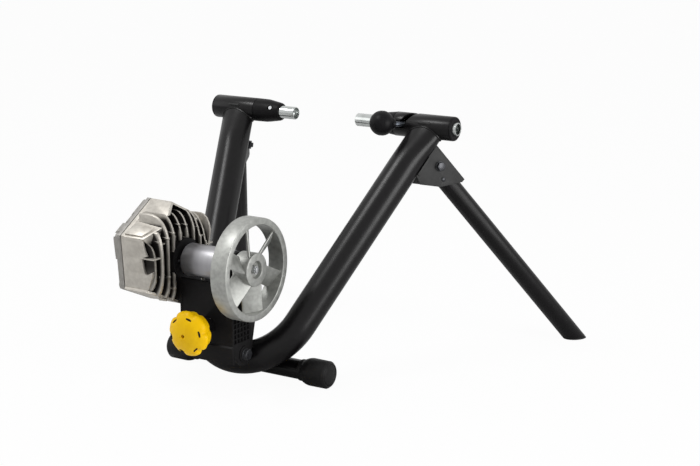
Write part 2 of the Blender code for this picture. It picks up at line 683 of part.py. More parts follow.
def build_leg(name, side):
    down, bolt, fold = (mirrored(v, side) for v in (LEG_DOWN, BOLT_AXIS, FOLD_SIDE))
    hinge = mirrored(AXLE + X * ARM_HALF_SPREAD + HINGE_REACH, side)

    def round_top(offset, flat):
        return -math.sqrt(LEG_TOP_RADIUS ** 2 - offset ** 2)

    def level(height):
        return lambda offset, flat: (height - flat.z) / down.z

    bore = LEG_RADIUS - LEG_WALL
    end = FOOT_PAD + CLEARANCE
    rings = [leg_ring(hinge, down, bolt, fold, LEG_RADIUS, round_top)]
    rings.append(leg_ring(hinge, down, bolt, fold, LEG_RADIUS, level(end)))
    rings.append(leg_ring(hinge, down, bolt, fold, bore, level(end)))
    rings.append(leg_ring(hinge, down, bolt, fold, bore, round_top))
    tube = piece(f"{name}_leg_tube", skin(rings, loop=True), PAINTED, hinge)
    hole = LEG_BUSHING_RADIUS + CLEARANCE
    cut(tube, rod(hinge, bolt, -LEG_RADIUS - 0.003, LEG_RADIUS + 0.003, hole, 16))
    plug = bore - CLEARANCE
    sole = [leg_ring(hinge, down, bolt, fold, LEG_RADIUS, level(0.0))]
    sole.append(leg_ring(hinge, down, bolt, fold, LEG_RADIUS, level(FOOT_PAD)))
    sole.append(leg_ring(hinge, down, bolt, fold, plug, level(FOOT_PAD)))
    sole.append(leg_ring(hinge, down, bolt, fold, plug, level(FOOT_PLUG)))
    piece(f"{name}_leg_foot", skin(sole), RUBBER, hinge)
    half = LEG_RADIUS + CLEARANCE
    bush = sleeve(hinge, bolt, -half, half, LEG_BUSHING_RADIUS, LEG_BOLT_RADIUS + CLEARANCE, 16)
    piece(f"{name}_leg_bushing", bush, BRONZE, hinge)


def build_leg_bracket(name, side):
    down, bolt, fold = (mirrored(v, side) for v in (LEG_DOWN, BOLT_AXIS, FOLD_SIDE))
    arm, out = (mirrored(v, side) for v in (ARM_DOWN, LEG_OUT))
    top = mirrored(AXLE + X * ARM_HALF_SPREAD, side)
    hinge = top + arm * HINGE_DOWN + out * HINGE_OUT
    inside = LEG_RADIUS + HOOD_GAP
    outside = inside + HOOD_WALL
    outline = [(-HOOD_RISE, -outside), (-HOOD_RISE, GUSSET_LEDGE), (-0.0145, GUSSET_LEDGE)]
    outline += [(-0.0036, GUSSET_CORNER), (0.0241, GUSSET_MID), (HOOD_SKIRT, -0.0122), (HOOD_SKIRT, -outside)]
    bracket = piece(f"{name}_leg_bracket", prism(outline, hinge, down, fold, bolt, -outside, outside), PAINTED)
    hollow = [(-HOOD_RISE - 0.01, -inside), (-HOOD_RISE - 0.01, 0.06), (HOOD_SKIRT + 0.01, 0.06)]
    hollow += [(HOOD_SKIRT + 0.01, -inside)]
    cut(bracket, prism(hollow, hinge, down, fold, bolt, -inside, inside))
    inner = math.sqrt(ARM_RADIUS ** 2 - outside ** 2)
    weld = [(TAB_START, inner), (TAB_END, inner), (TAB_END, inner + TAB_WIDTH), (TAB_START, inner + TAB_WIDTH)]
    fuse(bracket, prism(weld, top, arm, out, bolt, outside - 0.001, outside + TAB_HEIGHT))
    cut(bracket, rod(top, arm, -0.06, 0.2, ARM_RADIUS + 2 * CLEARANCE, 24))
    hole = LEG_BOLT_RADIUS + CLEARANCE
    cut(bracket, rod(hinge, bolt, -outside - 0.002, outside + 0.002, hole, 16))
    rivet_at = hinge + down * RIVET_DOWN + fold * RIVET_OUT
    cut(bracket, rod(rivet_at, bolt, inside - 0.002, outside + 0.002, RIVET_SHANK + CLEARANCE, 12))
    shank = [(inside, RIVET_SHANK), (outside + CLEARANCE, RIVET_SHANK), (outside + CLEARANCE, RIVET_RADIUS)]
    shank += [(outside + RIVET_HEAD * 0.6, RIVET_RADIUS * 0.85), (outside + RIVET_HEAD, RIVET_RADIUS * 0.4)]
    piece(f"{name}_leg_rivet", turned(shank, rivet_at, bolt, 12, loop=False), DARK_STEEL)
    seat = outside + CLEARANCE
    tail = seat + LEG_HEX_HEIGHT + LEG_BOLT_TAIL
    screw = hex_bolt(hinge, bolt, seat, LEG_HEX_HEIGHT, LEG_HEX_FLATS, -tail, LEG_BOLT_RADIUS)
    piece(f"{name}_leg_bolt", screw, DARK_STEEL)
    nut = hex_nut(hinge, bolt, -seat - LEG_HEX_HEIGHT, -seat, LEG_HEX_FLATS, hole)
    piece(f"{name}_leg_nut", nut, DARK_STEEL)


def build_pivot():
    bore = PIVOT_RADIUS + CLEARANCE
    shape = sleeve(PIVOT, X, -BOSS_HALF_LENGTH, BOSS_HALF_LENGTH, BOSS_RADIUS, bore, 20)
    boss = piece("pivot_boss", shape, PAINTED)
    toward = (FRAME_LOW - PIVOT).normalized()
    across = X.cross(toward)
    reach = (FRAME_LOW - PIVOT).length - ARM_RADIUS + 0.008
    start = (BOSS_RADIUS + bore) / 2
    outline = [(start, -BOSS_WEB_HALF_HEIGHT * 0.8), (reach, -BOSS_WEB_HALF_HEIGHT)]
    outline += [(reach, BOSS_WEB_HALF_HEIGHT), (start, BOSS_WEB_HALF_HEIGHT * 0.8)]
    edge = BOSS_HALF_LENGTH - 0.002
    webs = [prism(outline, PIVOT, toward, across, X * s, edge - BOSS_WEB, edge) for s in (-1, 1)]
    fuse(boss, merged(webs))
    cut(boss, bend_solid(ARM_RADIUS + CLEARANCE))
    head_seat = YOKE_RIGHT + LUG_RING + CLEARANCE
    nut_seat = YOKE_LEFT + LUG_RING + CLEARANCE
    tail = nut_seat + PIVOT_HEX_HEIGHT + PIVOT_TAIL
    bolt = hex_bolt(PIVOT, X, head_seat, PIVOT_HEX_HEIGHT, PIVOT_HEX_FLATS, -tail, PIVOT_RADIUS)
    piece("pivot_bolt", bolt, DARK_STEEL)
    nut = hex_nut(PIVOT, X, -nut_seat - PIVOT_HEX_HEIGHT, -nut_seat, PIVOT_HEX_FLATS, bore)
    piece("pivot_nut", nut, DARK_STEEL)
    start = BOSS_HALF_LENGTH + CLEARANCE
    for name, side, face in (("left", -1, YOKE_LEFT), ("right", 1, YOKE_RIGHT)):
        end = face - YOKE_WALL - CLEARANCE
        bush = sleeve(PIVOT, X * side, start, end, PIVOT_BUSHING_RADIUS, bore, 16)
        piece(f"{name}_pivot_bushing", bush, MOULDED, PIVOT)


def clutch_point(back):
    """The point of the clutch screw's axis that far behind the axle."""
    return KNOB - CLUTCH_OUT * ((KNOB_BACK - back) / math.cos(CLUTCH_DROOP))


def build_clutch_bracket():
    centre = clutch_point(TRUNNION_BACK)
    arc = [(CHEEK_HALF_WIDTH * math.cos(math.pi * i / 8), CHEEK_HALF_WIDTH * math.sin(math.pi * i / 8))
           for i in range(9)]
    foot = FRAME_LOW.z - centre.z
    outline = arc + [(-CHEEK_HALF_WIDTH - 0.003, foot), (CHEEK_HALF_WIDTH - 0.004, foot)]
    outer = CHEEK_INNER + CHEEK_THICKNESS
    cheeks = prism(outline, centre, Y, Z, X, -outer, outer)
    bracket = piece("clutch_bracket", cheeks, PAINTED)
    cut(bracket, box((-CHEEK_INNER, centre.y - 0.03, BRIDGE_HEIGHT), (CHEEK_INNER, centre.y + 0.03, 0.2)))
    cut(bracket, box((-CHEEK_INNER, centre.y - 0.03, 0.0),
                     (CHEEK_INNER, centre.y + 0.03, BRIDGE_HEIGHT - BRIDGE_THICKNESS)))
    cut(bracket, rod(centre, X, -outer - 0.002, outer + 0.002, TRUNNION_PIN + CLEARANCE, 16))
    cut(bracket, bend_solid(ARM_RADIUS + CLEARANCE))
    inner = CHEEK_INNER - CLEARANCE
    profile = [(-outer, TRUNNION_PIN), (-inner, TRUNNION_PIN), (-inner, TRUNNION_RADIUS)]
    profile += [(inner, TRUNNION_RADIUS), (inner, TRUNNION_PIN), (outer, TRUNNION_PIN)]
    trunnion = piece("clutch_trunnion", turned(profile, centre, X, 16, loop=False), BRIGHT)
    cut(trunnion, rod(centre, CLUTCH_OUT, -0.012, 0.012, SCREW_RADIUS + CLEARANCE, 16))


def build_clutch():
    seat_start = clutch_point(YOKE_REAR)
    wall_gap = SEAT_GAP
    hole = SCREW_RADIUS + CLEARANCE
    length = (KNOB - seat_start).length + KNOB_TIP - KNOB_CUP_DEPTH + 0.004
    profile = [(wall_gap, SEAT_RADIUS), (length * 0.45, SEAT_RADIUS), (length * 0.5, SEAT_COLLAR_RADIUS)]
    profile += [(length, SEAT_COLLAR_RADIUS), (length, hole), (wall_gap, hole)]
    pivot = clutch_point(YOKE_REAR)
    seat = piece("clutch_seat", turned(profile, seat_start, CLUTCH_OUT, 24), MOULDED, pivot)
    rocker = rod(seat_start + CLUTCH_OUT * (wall_gap + SEAT_RADIUS * 1.6), X, -0.03, 0.03, SEAT_RADIUS * 1.6, 32)
    block = prism([(-0.02, -0.02), (0.02, -0.02), (0.02, 0.02), (-0.02, 0.02)],
                  seat_start, X, CLUTCH_UP, CLUTCH_OUT, -0.01, 0.009)
    hollow = place("rocker_hollow", block)
    hollow.hide_render = True
    hollow.display_type = "WIRE"
    tool(hollow, rocker, "DIFFERENCE")
    face = seat.modifiers.new("rocker_face", "BOOLEAN")
    face.operation = "DIFFERENCE"
    face.solver = "EXACT"
    face.object = hollow
    tip = KNOB + CLUTCH_OUT * KNOB_TIP
    trunnion = clutch_point(TRUNNION_BACK)
    screw_length = (tip - trunnion).length
    screw = rod(tip, -CLUTCH_OUT, 0.0055, screw_length + TRUNNION_RADIUS + 0.004, SCREW_RADIUS, 16)
    piece("clutch_screw", screw, BRIGHT, pivot)
    floor = KNOB_DEPTH - KNOB_CUP_DEPTH
    dome = [(0.0, KNOB_HOLE), (0.0, 0.0060), (0.0022, 0.0170), (0.0070, 0.0255), (0.0140, 0.0317)]
    dome += [(0.0225, KNOB_RADIUS), (0.0285, KNOB_RADIUS), (KNOB_DEPTH, KNOB_RADIUS - 0.0015)]
    inside = [(KNOB_DEPTH, KNOB_CUP_RADIUS), (floor, KNOB_CUP_RADIUS), (floor, hole), (0.005, hole)]
    inside += [(0.005, KNOB_HOLE)]
    first, second = side_axes(-CLUTCH_OUT)
    rings = []
    for along, radius in dome + inside:
        centre = tip - CLUTCH_OUT * along
        ring = []
        for step in range(36):
            angle = math.tau * step / 36
            lobe = 0.5 - 0.5 * math.cos(KNOB_LOBES * angle)
            share = max(0.0, (radius - KNOB_CUP_RADIUS) / (KNOB_RADIUS - KNOB_CUP_RADIUS))
            ring.append(polar(centre, first, second, radius - KNOB_LOBE_DEPTH * share * (1 - lobe) ** 3, angle))
        rings.append(ring)
    piece("clutch_knob", skin(rings, loop=True), KNOB_PLASTIC, pivot)


def build_spring():
    """The spring that pushes the yoke off its bracket, seated on the yoke's rear wall."""
    wall = clutch_point(YOKE_REAR - YOKE_REAR_WALL)
    start = wall - CLUTCH_OUT * (CLEARANCE + SPRING_WIRE_RADIUS)
    count = SPRING_TURNS * SPRING_POINTS
    rings = []
    least = SPRING_LENGTH / SPRING_TURNS - 2 * SPRING_WIRE_RADIUS
    for step in range(count + 1):
        angle = math.tau * step / SPRING_POINTS
        centre = start - CLUTCH_OUT * (SPRING_LENGTH * step / count)
        ray = math.cos(angle) * X + math.sin(angle) * CLUTCH_UP
        rings.append(circle(centre + ray * SPRING_COIL_RADIUS, ray, CLUTCH_OUT, SPRING_WIRE_RADIUS, 6))
    print(f"spring: least gap between turns {least * 1000:.2f} mm")
    piece("clutch_spring", skin(rings), BRIGHT, PIVOT)


def cheek_outline(upright, foot, gap=0.0):
    """A side of the yoke, seen along X: its round upright on a lug (foot None) or on a level foot."""
    rear, front = AXLE.y - YOKE_REAR - gap, AXLE.y - YOKE_SIDE_BACK + gap
    if foot is None:
        points = [(rear, YOKE_BOTTOM + 0.012)]
        points += [(PIVOT.y + LUG_RADIUS * math.cos(math.radians(205 + 26 * step)),
                    PIVOT.z + LUG_RADIUS * math.sin(math.radians(205 + 26 * step))) for step in range(7)]
    else:
        points = [(rear, foot), (front if foot < YOKE_SIDE_HEIGHT else front - 0.0045, foot)]
    if foot is None or foot < YOKE_SIDE_HEIGHT:
        points += [(front, YOKE_SIDE_HEIGHT), (front, YOKE_SIDE_HEIGHT + 0.012)]
    radius = upright + gap
    for step in range(14):
        angle = math.radians(-25 + 20 * step)
        points.append((UNIT.y + radius * math.cos(angle), UNIT.z + radius * math.sin(angle)))
    return points + [(rear, YOKE_SHOULDER)]


def build_yoke():
    left = prism(cheek_outline(LEFT_UPRIGHT_RADIUS, None), Vector(), Y, Z, X, -YOKE_LEFT, YOKE_WALL - YOKE_LEFT)
    yoke = piece("yoke", left, MOULDED, PIVOT)
    right = prism(cheek_outline(RIGHT_UPRIGHT_RADIUS, None), Vector(), Y, Z, X, YOKE_RIGHT - YOKE_WALL, YOKE_RIGHT)
    rear = AXLE.y - YOKE_REAR
    inner = rear + YOKE_REAR_WALL
    wall = box((-YOKE_LEFT + 0.001, rear, YOKE_BOTTOM), (YOKE_RIGHT - 0.001, inner, YOKE_TOP))
    fuse(yoke, merged([wall]), right)
    lip = [(rear - SKIRT_LIP, SKIRT_HEIGHT - 0.003), (rear + 0.001, SKIRT_HEIGHT), (rear + 0.001, YOKE_BOTTOM - 0.002)]
    lip += [(rear - SKIRT_LIP * 0.5, YOKE_BOTTOM - 0.002)]
    fuse(yoke, prism(lip, Vector(), Y, Z, X, -YOKE_LEFT - 0.001, YOKE_RIGHT + 0.001))
    big = prism(cheek_outline(LEFT_UPRIGHT_RADIUS, UPRIGHT_FOOT), Vector(), Y, Z, X,
                -LEFT_UPRIGHT_OUT, -LEFT_UPRIGHT_IN)
    small = prism(cheek_outline(RIGHT_UPRIGHT_RADIUS, UPRIGHT_FOOT), Vector(), Y, Z, X,
                  RIGHT_UPRIGHT_IN, RIGHT_UPRIGHT_OUT)
    fuse(yoke, big, small)
    rings = [rod(PIVOT, X, YOKE_RIGHT - 0.001, YOKE_RIGHT + LUG_RING, LUG_RING_RADIUS, 20)]
    rings.append(rod(PIVOT, -X, YOKE_LEFT - 0.001, YOKE_LEFT + LUG_RING, LUG_RING_RADIUS, 20))
    fuse(yoke, merged(rings))
    bore = PIVOT_RADIUS + CLEARANCE
    cut(yoke, rod(PIVOT, X, -0.08, 0.08, bore, 20))
    cut(yoke, rod(UNIT, X, -0.08, 0.08, BEARING_RADIUS + CLEARANCE, 20))
    slot = clutch_point(YOKE_REAR)
    half = SCREW_RADIUS + SLOT_SIDE_GAP
    cut(yoke, box((-half, rear - 0.01, slot.z - SLOT_HALF_HEIGHT), (half, inner + 0.01, slot.z + SLOT_HALF_HEIGHT)))
    pockets = []
    for row in range(POCKET_ROWS):
        for column in range(POCKET_COLUMNS):
            y = AXLE.y - POCKET_BACK + POCKET_PITCH * column
            z = POCKET_BASE + POCKET_PITCH * row
            low = (YOKE_RIGHT - POCKET_DEPTH, y - POCKET_SIZE / 2, z - POCKET_SIZE / 2)
            pockets.append(box(low, (YOKE_RIGHT + 0.01, y + POCKET_SIZE / 2, z + POCKET_SIZE / 2)))
    cut(yoke, merged(pockets))
    head = MOUNT_SCREW_HEAD + CLEARANCE
    seat = LEFT_UPRIGHT_IN + MOUNT_SCREW_SINK
    hole = MOUNT_SCREW_RADIUS + CLEARANCE
    profile = [(LEFT_UPRIGHT_IN - 0.001, head), (seat, head), (seat, hole), (LEFT_UPRIGHT_OUT + 0.001, hole)]
    cut(yoke, merged([turned(profile, at, -X, 12, loop=False) for at in mount_points()]))


def mount_points():
    """The screws that hold the housing on the left upright."""
    angles = [math.pi + math.tau * i / MOUNT_SCREW_COUNT for i in range(MOUNT_SCREW_COUNT)]
    return [polar(UNIT, Y, Z, MOUNT_SCREW_CIRCLE, angle) for angle in angles]


def casing_corners():
    """The six corners of the housing's outline, across and up from the shaft."""
    upper, lower = CORNER_UPPER, CORNER_LOWER
    return [(0.0, CORNER_TOP), (-upper[0], upper[1]), (-lower[0], lower[1]), (0.0, CORNER_BOTTOM),
            lower, upper]


def casing_ring(x, scale, roundness=0.0, round_radius=0.0):
    """The outline at one place along the shaft, shrunk and blended to a circle."""
    corners = casing_corners()
    ring = []
    for (across, up), (next_across, next_up) in zip(corners, corners[1:] + corners[:1]):
        for step in range(SIDE_STEPS):
            share = step / SIDE_STEPS
            point = Vector((0.0, across + (next_across - across) * share, up + (next_up - up) * share))
            radius = point.length * scale * (1 - roundness) + round_radius * roundness
            ring.append(UNIT - X * x + point.normalized() * radius)
    return ring


def fin_offsets():
    """Distances of the fins from the shaft, closer together at the rear."""
    offsets = [FIN_FIRST + FIN_NEAR_PITCH * i for i in range(FIN_NEAR_COUNT)]
    while len(offsets) < FIN_COUNT:
        offsets.append(offsets[-1] + FIN_PITCH)
    return offsets


def fin_outline(offset):
    """A fin's outline along X and up, under the dome that its rim follows."""
    slope_top = (CORNER_TOP - CORNER_UPPER[1]) / CORNER_UPPER[0]
    slope_bottom = (CORNER_LOWER[1] - CORNER_BOTTOM) / CORNER_LOWER[0]
    top = min(CORNER_TOP - slope_top * abs(offset), math.sqrt(FIN_DOME_RADIUS ** 2 - offset ** 2)) - FIN_INSET
    bottom = CORNER_BOTTOM + slope_bottom * abs(offset) + FIN_INSET
    flat = FIN_DOME_RADIUS - FIN_DOME_EDGE
    points = [(-FIN_ROOT, bottom)]
    for step in range(FIN_STEPS + 1):
        height = bottom + (top - bottom) * step / FIN_STEPS
        reach = min(max(math.hypot(offset, height) - flat, 0.0), FIN_DOME_EDGE)
        points.append((-FIN_REACH - FIN_DOME_EDGE + math.sqrt(FIN_DOME_EDGE ** 2 - reach ** 2), height))
    return points + [(-FIN_ROOT, top)]


def cover_boss_points():
    """Six bosses of the cover, near the outline's corners: the first and fourth hold dowels, the others screws."""
    return [UNIT + Y * across * COVER_BOSS_SCALE + Z * up * COVER_BOSS_SCALE for across, up in casing_corners()]


def cover_screw_points():
    points = cover_boss_points()
    return points[1:3] + points[4:6]


def build_housing():
    face = SEAM - GASKET / 2 - CLEARANCE
    hub = LEFT_UPRIGHT_OUT + CLEARANCE
    rings = [casing_ring(face, 1.0)]
    for x, scale in CORE_SCALES:
        rings.append(casing_ring(x, scale, (CORE_START - x) / CORE_ROUNDING, HUB_FACE_RADIUS + 0.008))
    rings.append(casing_ring(hub - 0.001, 1.0, 1.0, HUB_FACE_RADIUS))
    housing = piece("unit_housing", skin(rings), CASTING, PIVOT)
    fins = []
    for offset in fin_offsets():
        fins.append(prism(fin_outline(offset), UNIT, X, Z, Y, offset - FIN_THICKNESS / 2, offset + FIN_THICKNESS / 2))
    fuse(housing, merged(fins))
    slope = (CORNER_TOP - CORNER_UPPER[1]) / CORNER_UPPER[0]
    edge = CORNER_TOP - slope * TOP_PANEL_HALF
    top = [(-TOP_PANEL_HALF, edge - 0.0003), (0.0, CORNER_TOP - 0.0003), (TOP_PANEL_HALF, edge - 0.0003)]
    top += [(TOP_PANEL_HALF - 0.004, edge - PANEL_DEPTH), (-TOP_PANEL_HALF + 0.004, edge - PANEL_DEPTH)]
    fuse(housing, prism(top, UNIT, Y, Z, -X, TOP_PANEL_END, face - 0.001))
    for side in (-1, 1):
        height = CORNER_TOP - slope * CORNER_PANEL_IN - 0.0003
        corner = [(side * CORNER_UPPER[0], CORNER_UPPER[1] - 0.0003), (side * CORNER_PANEL_IN, height)]
        corner += [(side * (CORNER_PANEL_IN - 0.008), height - 0.010), (side * (CORNER_UPPER[0] - 0.014), 0.030)]
        fuse(housing, prism(corner, UNIT, Y, Z, -X, CORNER_PANEL_END, face - 0.001))
        panel = [(-face + 0.001, CORNER_UPPER[1] - 0.001)] + list(SIDE_PANEL_EDGE)
        panel.append((-face + 0.001, CORNER_LOWER[1] + 0.001))
        slab = prism(panel, UNIT, X, Z, Y * side, CORNER_LOWER[0] - PANEL_DEPTH, CORNER_UPPER[0] + 0.001)
        fuse(housing, slab)
        near, far = CORNER_LOWER[0] + 0.0004, CORNER_UPPER[0] + 0.0004
        wedge = [(side * near, CORNER_LOWER[1]), (side * far, CORNER_UPPER[1])]
        wedge += [(side * 0.09, CORNER_UPPER[1]), (side * 0.09, CORNER_LOWER[1])]
        cut(housing, prism(wedge, UNIT, Y, Z, -X, 0.04, 0.12))
    cut(housing, rod(UNIT, -X, CHAMBER_FLOOR, 0.12, CHAMBER_RADIUS, 24))
    cut(housing, rod(UNIT, -X, 0.04, CHAMBER_FLOOR + 0.001, SHAFT_RADIUS + 2 * CLEARANCE, 16))
    cut(housing, rod(UNIT, -X, 0.04, hub + SEAL_DEPTH, SEAL_RADIUS, 16))
    relief = cheek_outline(LEFT_UPRIGHT_RADIUS, YOKE_BOTTOM + 0.012, FIN_YOKE_GAP)
    cut(housing, prism(relief, Vector(), Y, Z, X, -hub, 0.0))
    holes = [rod(at, -X, hub - 0.001, hub + 0.010, MOUNT_SCREW_RADIUS + CLEARANCE, 10) for at in mount_points()]
    depth = COVER_SCREW_DEPTH + CLEARANCE
    holes += [rod(at, -X, face - depth, face + 0.001, COVER_SCREW_RADIUS + CLEARANCE, 8)
              for at in cover_screw_points()]
    cut(housing, merged(holes))
    seat = LEFT_UPRIGHT_IN + MOUNT_SCREW_SINK - CLEARANCE
    profile = [(LEFT_UPRIGHT_IN + 0.0004, MOUNT_SCREW_HEAD), (seat, MOUNT_SCREW_HEAD)]
    profile += [(seat, MOUNT_SCREW_RADIUS), (hub + 0.009, MOUNT_SCREW_RADIUS)]
    for index, at in enumerate(mount_points()):
        piece(f"mount_screw_{index + 1}", turned(profile, at, -X, 12, loop=False), BRIGHT, PIVOT)
    seal = sleeve(UNIT, -X, hub + CLEARANCE, hub + SEAL_DEPTH - CLEARANCE, SEAL_RADIUS - CLEARANCE,
                  SHAFT_RADIUS + CLEARANCE, 16)
    piece("shaft_seal", seal, RUBBER, PIVOT)


def build_cover():
    gasket_face = SEAM - GASKET / 2
    outer = [casing_ring(gasket_face, 0.985), casing_ring(gasket_face + GASKET, 0.985)]
    inner = [casing_ring(gasket_face + GASKET, 1.0, 1.0, CHAMBER_RADIUS + 0.001)]
    inner.append(casing_ring(gasket_face, 1.0, 1.0, CHAMBER_RADIUS + 0.001))
    gasket = piece("unit_gasket", skin(outer + inner, loop=True), RUBBER, PIVOT)
    hole = COVER_SCREW_RADIUS + CLEARANCE
    cut(gasket, merged([rod(at, -X, 0.10, 0.13, hole, 8) for at in cover_screw_points()]))
    face = gasket_face + GASKET + CLEARANCE
    rings = [casing_ring(face + along, scale) for along, scale in COVER_SCALES]
    cover = piece("unit_cover", skin(rings), CASTING, PIVOT)
    bosses = [rod(at, -X, face + 0.002, face + COVER_BOSS_HEIGHT, COVER_BOSS_RADIUS, 12)
              for at in cover_boss_points()]
    fuse(cover, merged(bosses))
    cut(cover, merged([rod(at, -X, 0.10, 0.15, hole, 8) for at in cover_screw_points()]))
    seat = face + COVER_BOSS_HEIGHT + CLEARANCE
    end = SEAM - GASKET / 2 - CLEARANCE - COVER_SCREW_DEPTH
    profile = [(seat + 0.0022, COVER_SCREW_HEAD * 0.8), (seat + 0.0014, COVER_SCREW_HEAD)]
    profile += [(seat, COVER_SCREW_HEAD), (seat, COVER_SCREW_RADIUS), (end, COVER_SCREW_RADIUS)]
    for index, at in enumerate(cover_screw_points()):
        piece(f"cover_screw_{index + 1}", turned(profile, at, -X, 10, loop=False), BRIGHT, PIVOT)


def build_rotor():
    hub_face = FLYWHEEL_RIGHT - HUB_INSET
    nut_seat = hub_face - HUB_RECESS_DEPTH
    profile = [(-SHAFT_LEFT, SHAFT_RADIUS), (nut_seat - 0.001, SHAFT_RADIUS), (nut_seat - 0.001, THREAD_RADIUS)]
    profile.append((SHAFT_RIGHT - 0.001, THREAD_RADIUS))
    piece("shaft", turned(profile, UNIT, X, 16, loop=False), BRIGHT, UNIT)
    bore = SHAFT_RADIUS + CLEARANCE
    left_bearing = (LEFT_UPRIGHT_OUT + LEFT_UPRIGHT_IN) / 2
    right_bearing = (RIGHT_UPRIGHT_OUT + RIGHT_UPRIGHT_IN) / 2
    half = BEARING_WIDTH / 2
    stub_left, stub_right = half + CLEARANCE - left_bearing, right_bearing - half - CLEARANCE
    edge = ROLLER_CHAMFER
    drum = [(stub_left, bore), (stub_left, STUB_RADIUS), (-ROLLER_LEFT, STUB_RADIUS)]
    drum += [(-ROLLER_LEFT, ROLLER_RADIUS - edge), (edge - ROLLER_LEFT, ROLLER_RADIUS)]
    drum += [(ROLLER_RIGHT - edge, ROLLER_RADIUS), (ROLLER_RIGHT, ROLLER_RADIUS - edge)]
    drum += [(ROLLER_RIGHT, STUB_RADIUS), (stub_right, STUB_RADIUS), (stub_right, bore)]
    piece("roller", turned(drum, UNIT, X, 32), BRIGHT, UNIT)
    for name, centre in (("left_bearing", -left_bearing), ("right_bearing", right_bearing)):
        ring = sleeve(UNIT, X, centre - half, centre + half, BEARING_RADIUS, bore, 20)
        piece(name, ring, BRIGHT, PIVOT)
    start = IMPELLER_DISC[0]
    rotor = [(start, IMPELLER_RADIUS), (IMPELLER_DISC[1], IMPELLER_RADIUS), (IMPELLER_DISC[1], IMPELLER_HUB_RADIUS)]
    rotor += [(IMPELLER_VANE_END, IMPELLER_HUB_RADIUS), (IMPELLER_VANE_END, bore), (start, bore)]
    impeller = piece("impeller", turned(rotor, UNIT, -X, 24), CASTING, UNIT)
    vanes = []
    for index in range(IMPELLER_VANES):
        ray = polar(Vector(), Y, Z, 1.0, math.tau * index / IMPELLER_VANES)
        across = X.cross(ray)
        outline = [(IMPELLER_HUB_RADIUS - 0.002, -0.0012), (IMPELLER_RADIUS - 0.001, -0.0012)]
        outline += [(IMPELLER_RADIUS - 0.001, 0.0012), (IMPELLER_HUB_RADIUS - 0.002, 0.0012)]
        vanes.append(prism(outline, UNIT, ray, across, -X, IMPELLER_DISC[1] - 0.001, IMPELLER_VANE_END - 0.001))
    fuse(impeller, merged(vanes))


def blade(index):
    """A twisted flywheel blade from the hub to the rim."""
    ray = polar(Vector(), Z, -Y, 1.0, BLADE_PHASE + math.tau * index / BLADE_COUNT)
    around = X.cross(ray)
    middle = (FLYWHEEL_LEFT + FLYWHEEL_RIGHT) / 2
    start = HUB_RADIUS - BLADE_SINK
    end = FLYWHEEL_RADIUS - FLYWHEEL_RIM + BLADE_SINK
    rings = []
    for step in range(5):
        share = step / 4
        angle = BLADE_ROOT_ANGLE + (BLADE_TIP_ANGLE - BLADE_ROOT_ANGLE) * share
        chord = math.cos(angle) * X + math.sin(angle) * around
        thick = -math.sin(angle) * X + math.cos(angle) * around
        centre = UNIT + X * middle + ray * (start + (end - start) * share)
        section = [(-0.5, 0.0), (-0.4, -0.5), (0.4, -0.5), (0.5, 0.0), (0.4, 0.5), (-0.4, 0.5)]
        rings.append([centre + chord * (BLADE_CHORD * a) + thick * (BLADE_THICKNESS * b) for a, b in section])
    return skin(rings)


def build_flywheel():
    face = FLYWHEEL_RIGHT - HUB_INSET
    floor = face - HUB_RECESS_DEPTH
    back = FLYWHEEL_LEFT
    bore = SHAFT_RADIUS + CLEARANCE
    stub = (RIGHT_UPRIGHT_OUT + RIGHT_UPRIGHT_IN + BEARING_WIDTH) / 2 + CLEARANCE
    hub = [(stub, STUB_RADIUS), (back, STUB_RADIUS), (back, HUB_RADIUS - 0.001)]
    hub += [(back + 0.001, HUB_RADIUS), (face - 0.001, HUB_RADIUS)]
    hub += [(face, HUB_RADIUS - 0.001), (face, HUB_RECESS_RADIUS), (floor, HUB_RECESS_RADIUS - 0.001)]
    hub += [(floor, bore), (stub, bore)]
    wheel = piece("flywheel", turned(hub, UNIT, X, 24), CASTING, UNIT)
    fuse(wheel, merged([blade(index) for index in range(BLADE_COUNT)]))
    inner = FLYWHEEL_RADIUS - FLYWHEEL_RIM
    rim = [(back, FLYWHEEL_RADIUS - RIM_CHAMFER), (back + RIM_CHAMFER, FLYWHEEL_RADIUS)]
    rim += [(FLYWHEEL_RIGHT - RIM_CHAMFER, FLYWHEEL_RADIUS), (FLYWHEEL_RIGHT, FLYWHEEL_RADIUS - RIM_CHAMFER)]
    rim += [(FLYWHEEL_RIGHT, inner), (back, inner)]
    fuse(wheel, turned(rim, UNIT, X, 48))
    nut = hex_nut(UNIT, X, floor + CLEARANCE, face - 0.001, NUT_FLATS, THREAD_RADIUS + CLEARANCE)
    piece("flywheel_nut", nut, DARK_STEEL, UNIT)


def main():
    for item in list(bpy.data.objects):
        bpy.data.objects.remove(item)
    build_main_tube()
    build_left_head()
    build_right_head()
    build_right_axle()
    build_cross_tube()
    for name, side in (("left", -1), ("right", 1)):
        build_leg(name, side)
        build_leg_bracket(name, side)
    build_pivot()
    build_clutch_bracket()
    build_clutch()
    build_spring()
    build_yoke()
    build_housing()
    build_cover()
    build_rotor()
    build_flywheel()


main()
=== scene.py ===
# Folding bicycle trainer with a fluid unit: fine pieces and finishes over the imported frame.
import math
import bmesh
import bpy
from mathutils import Matrix, Vector


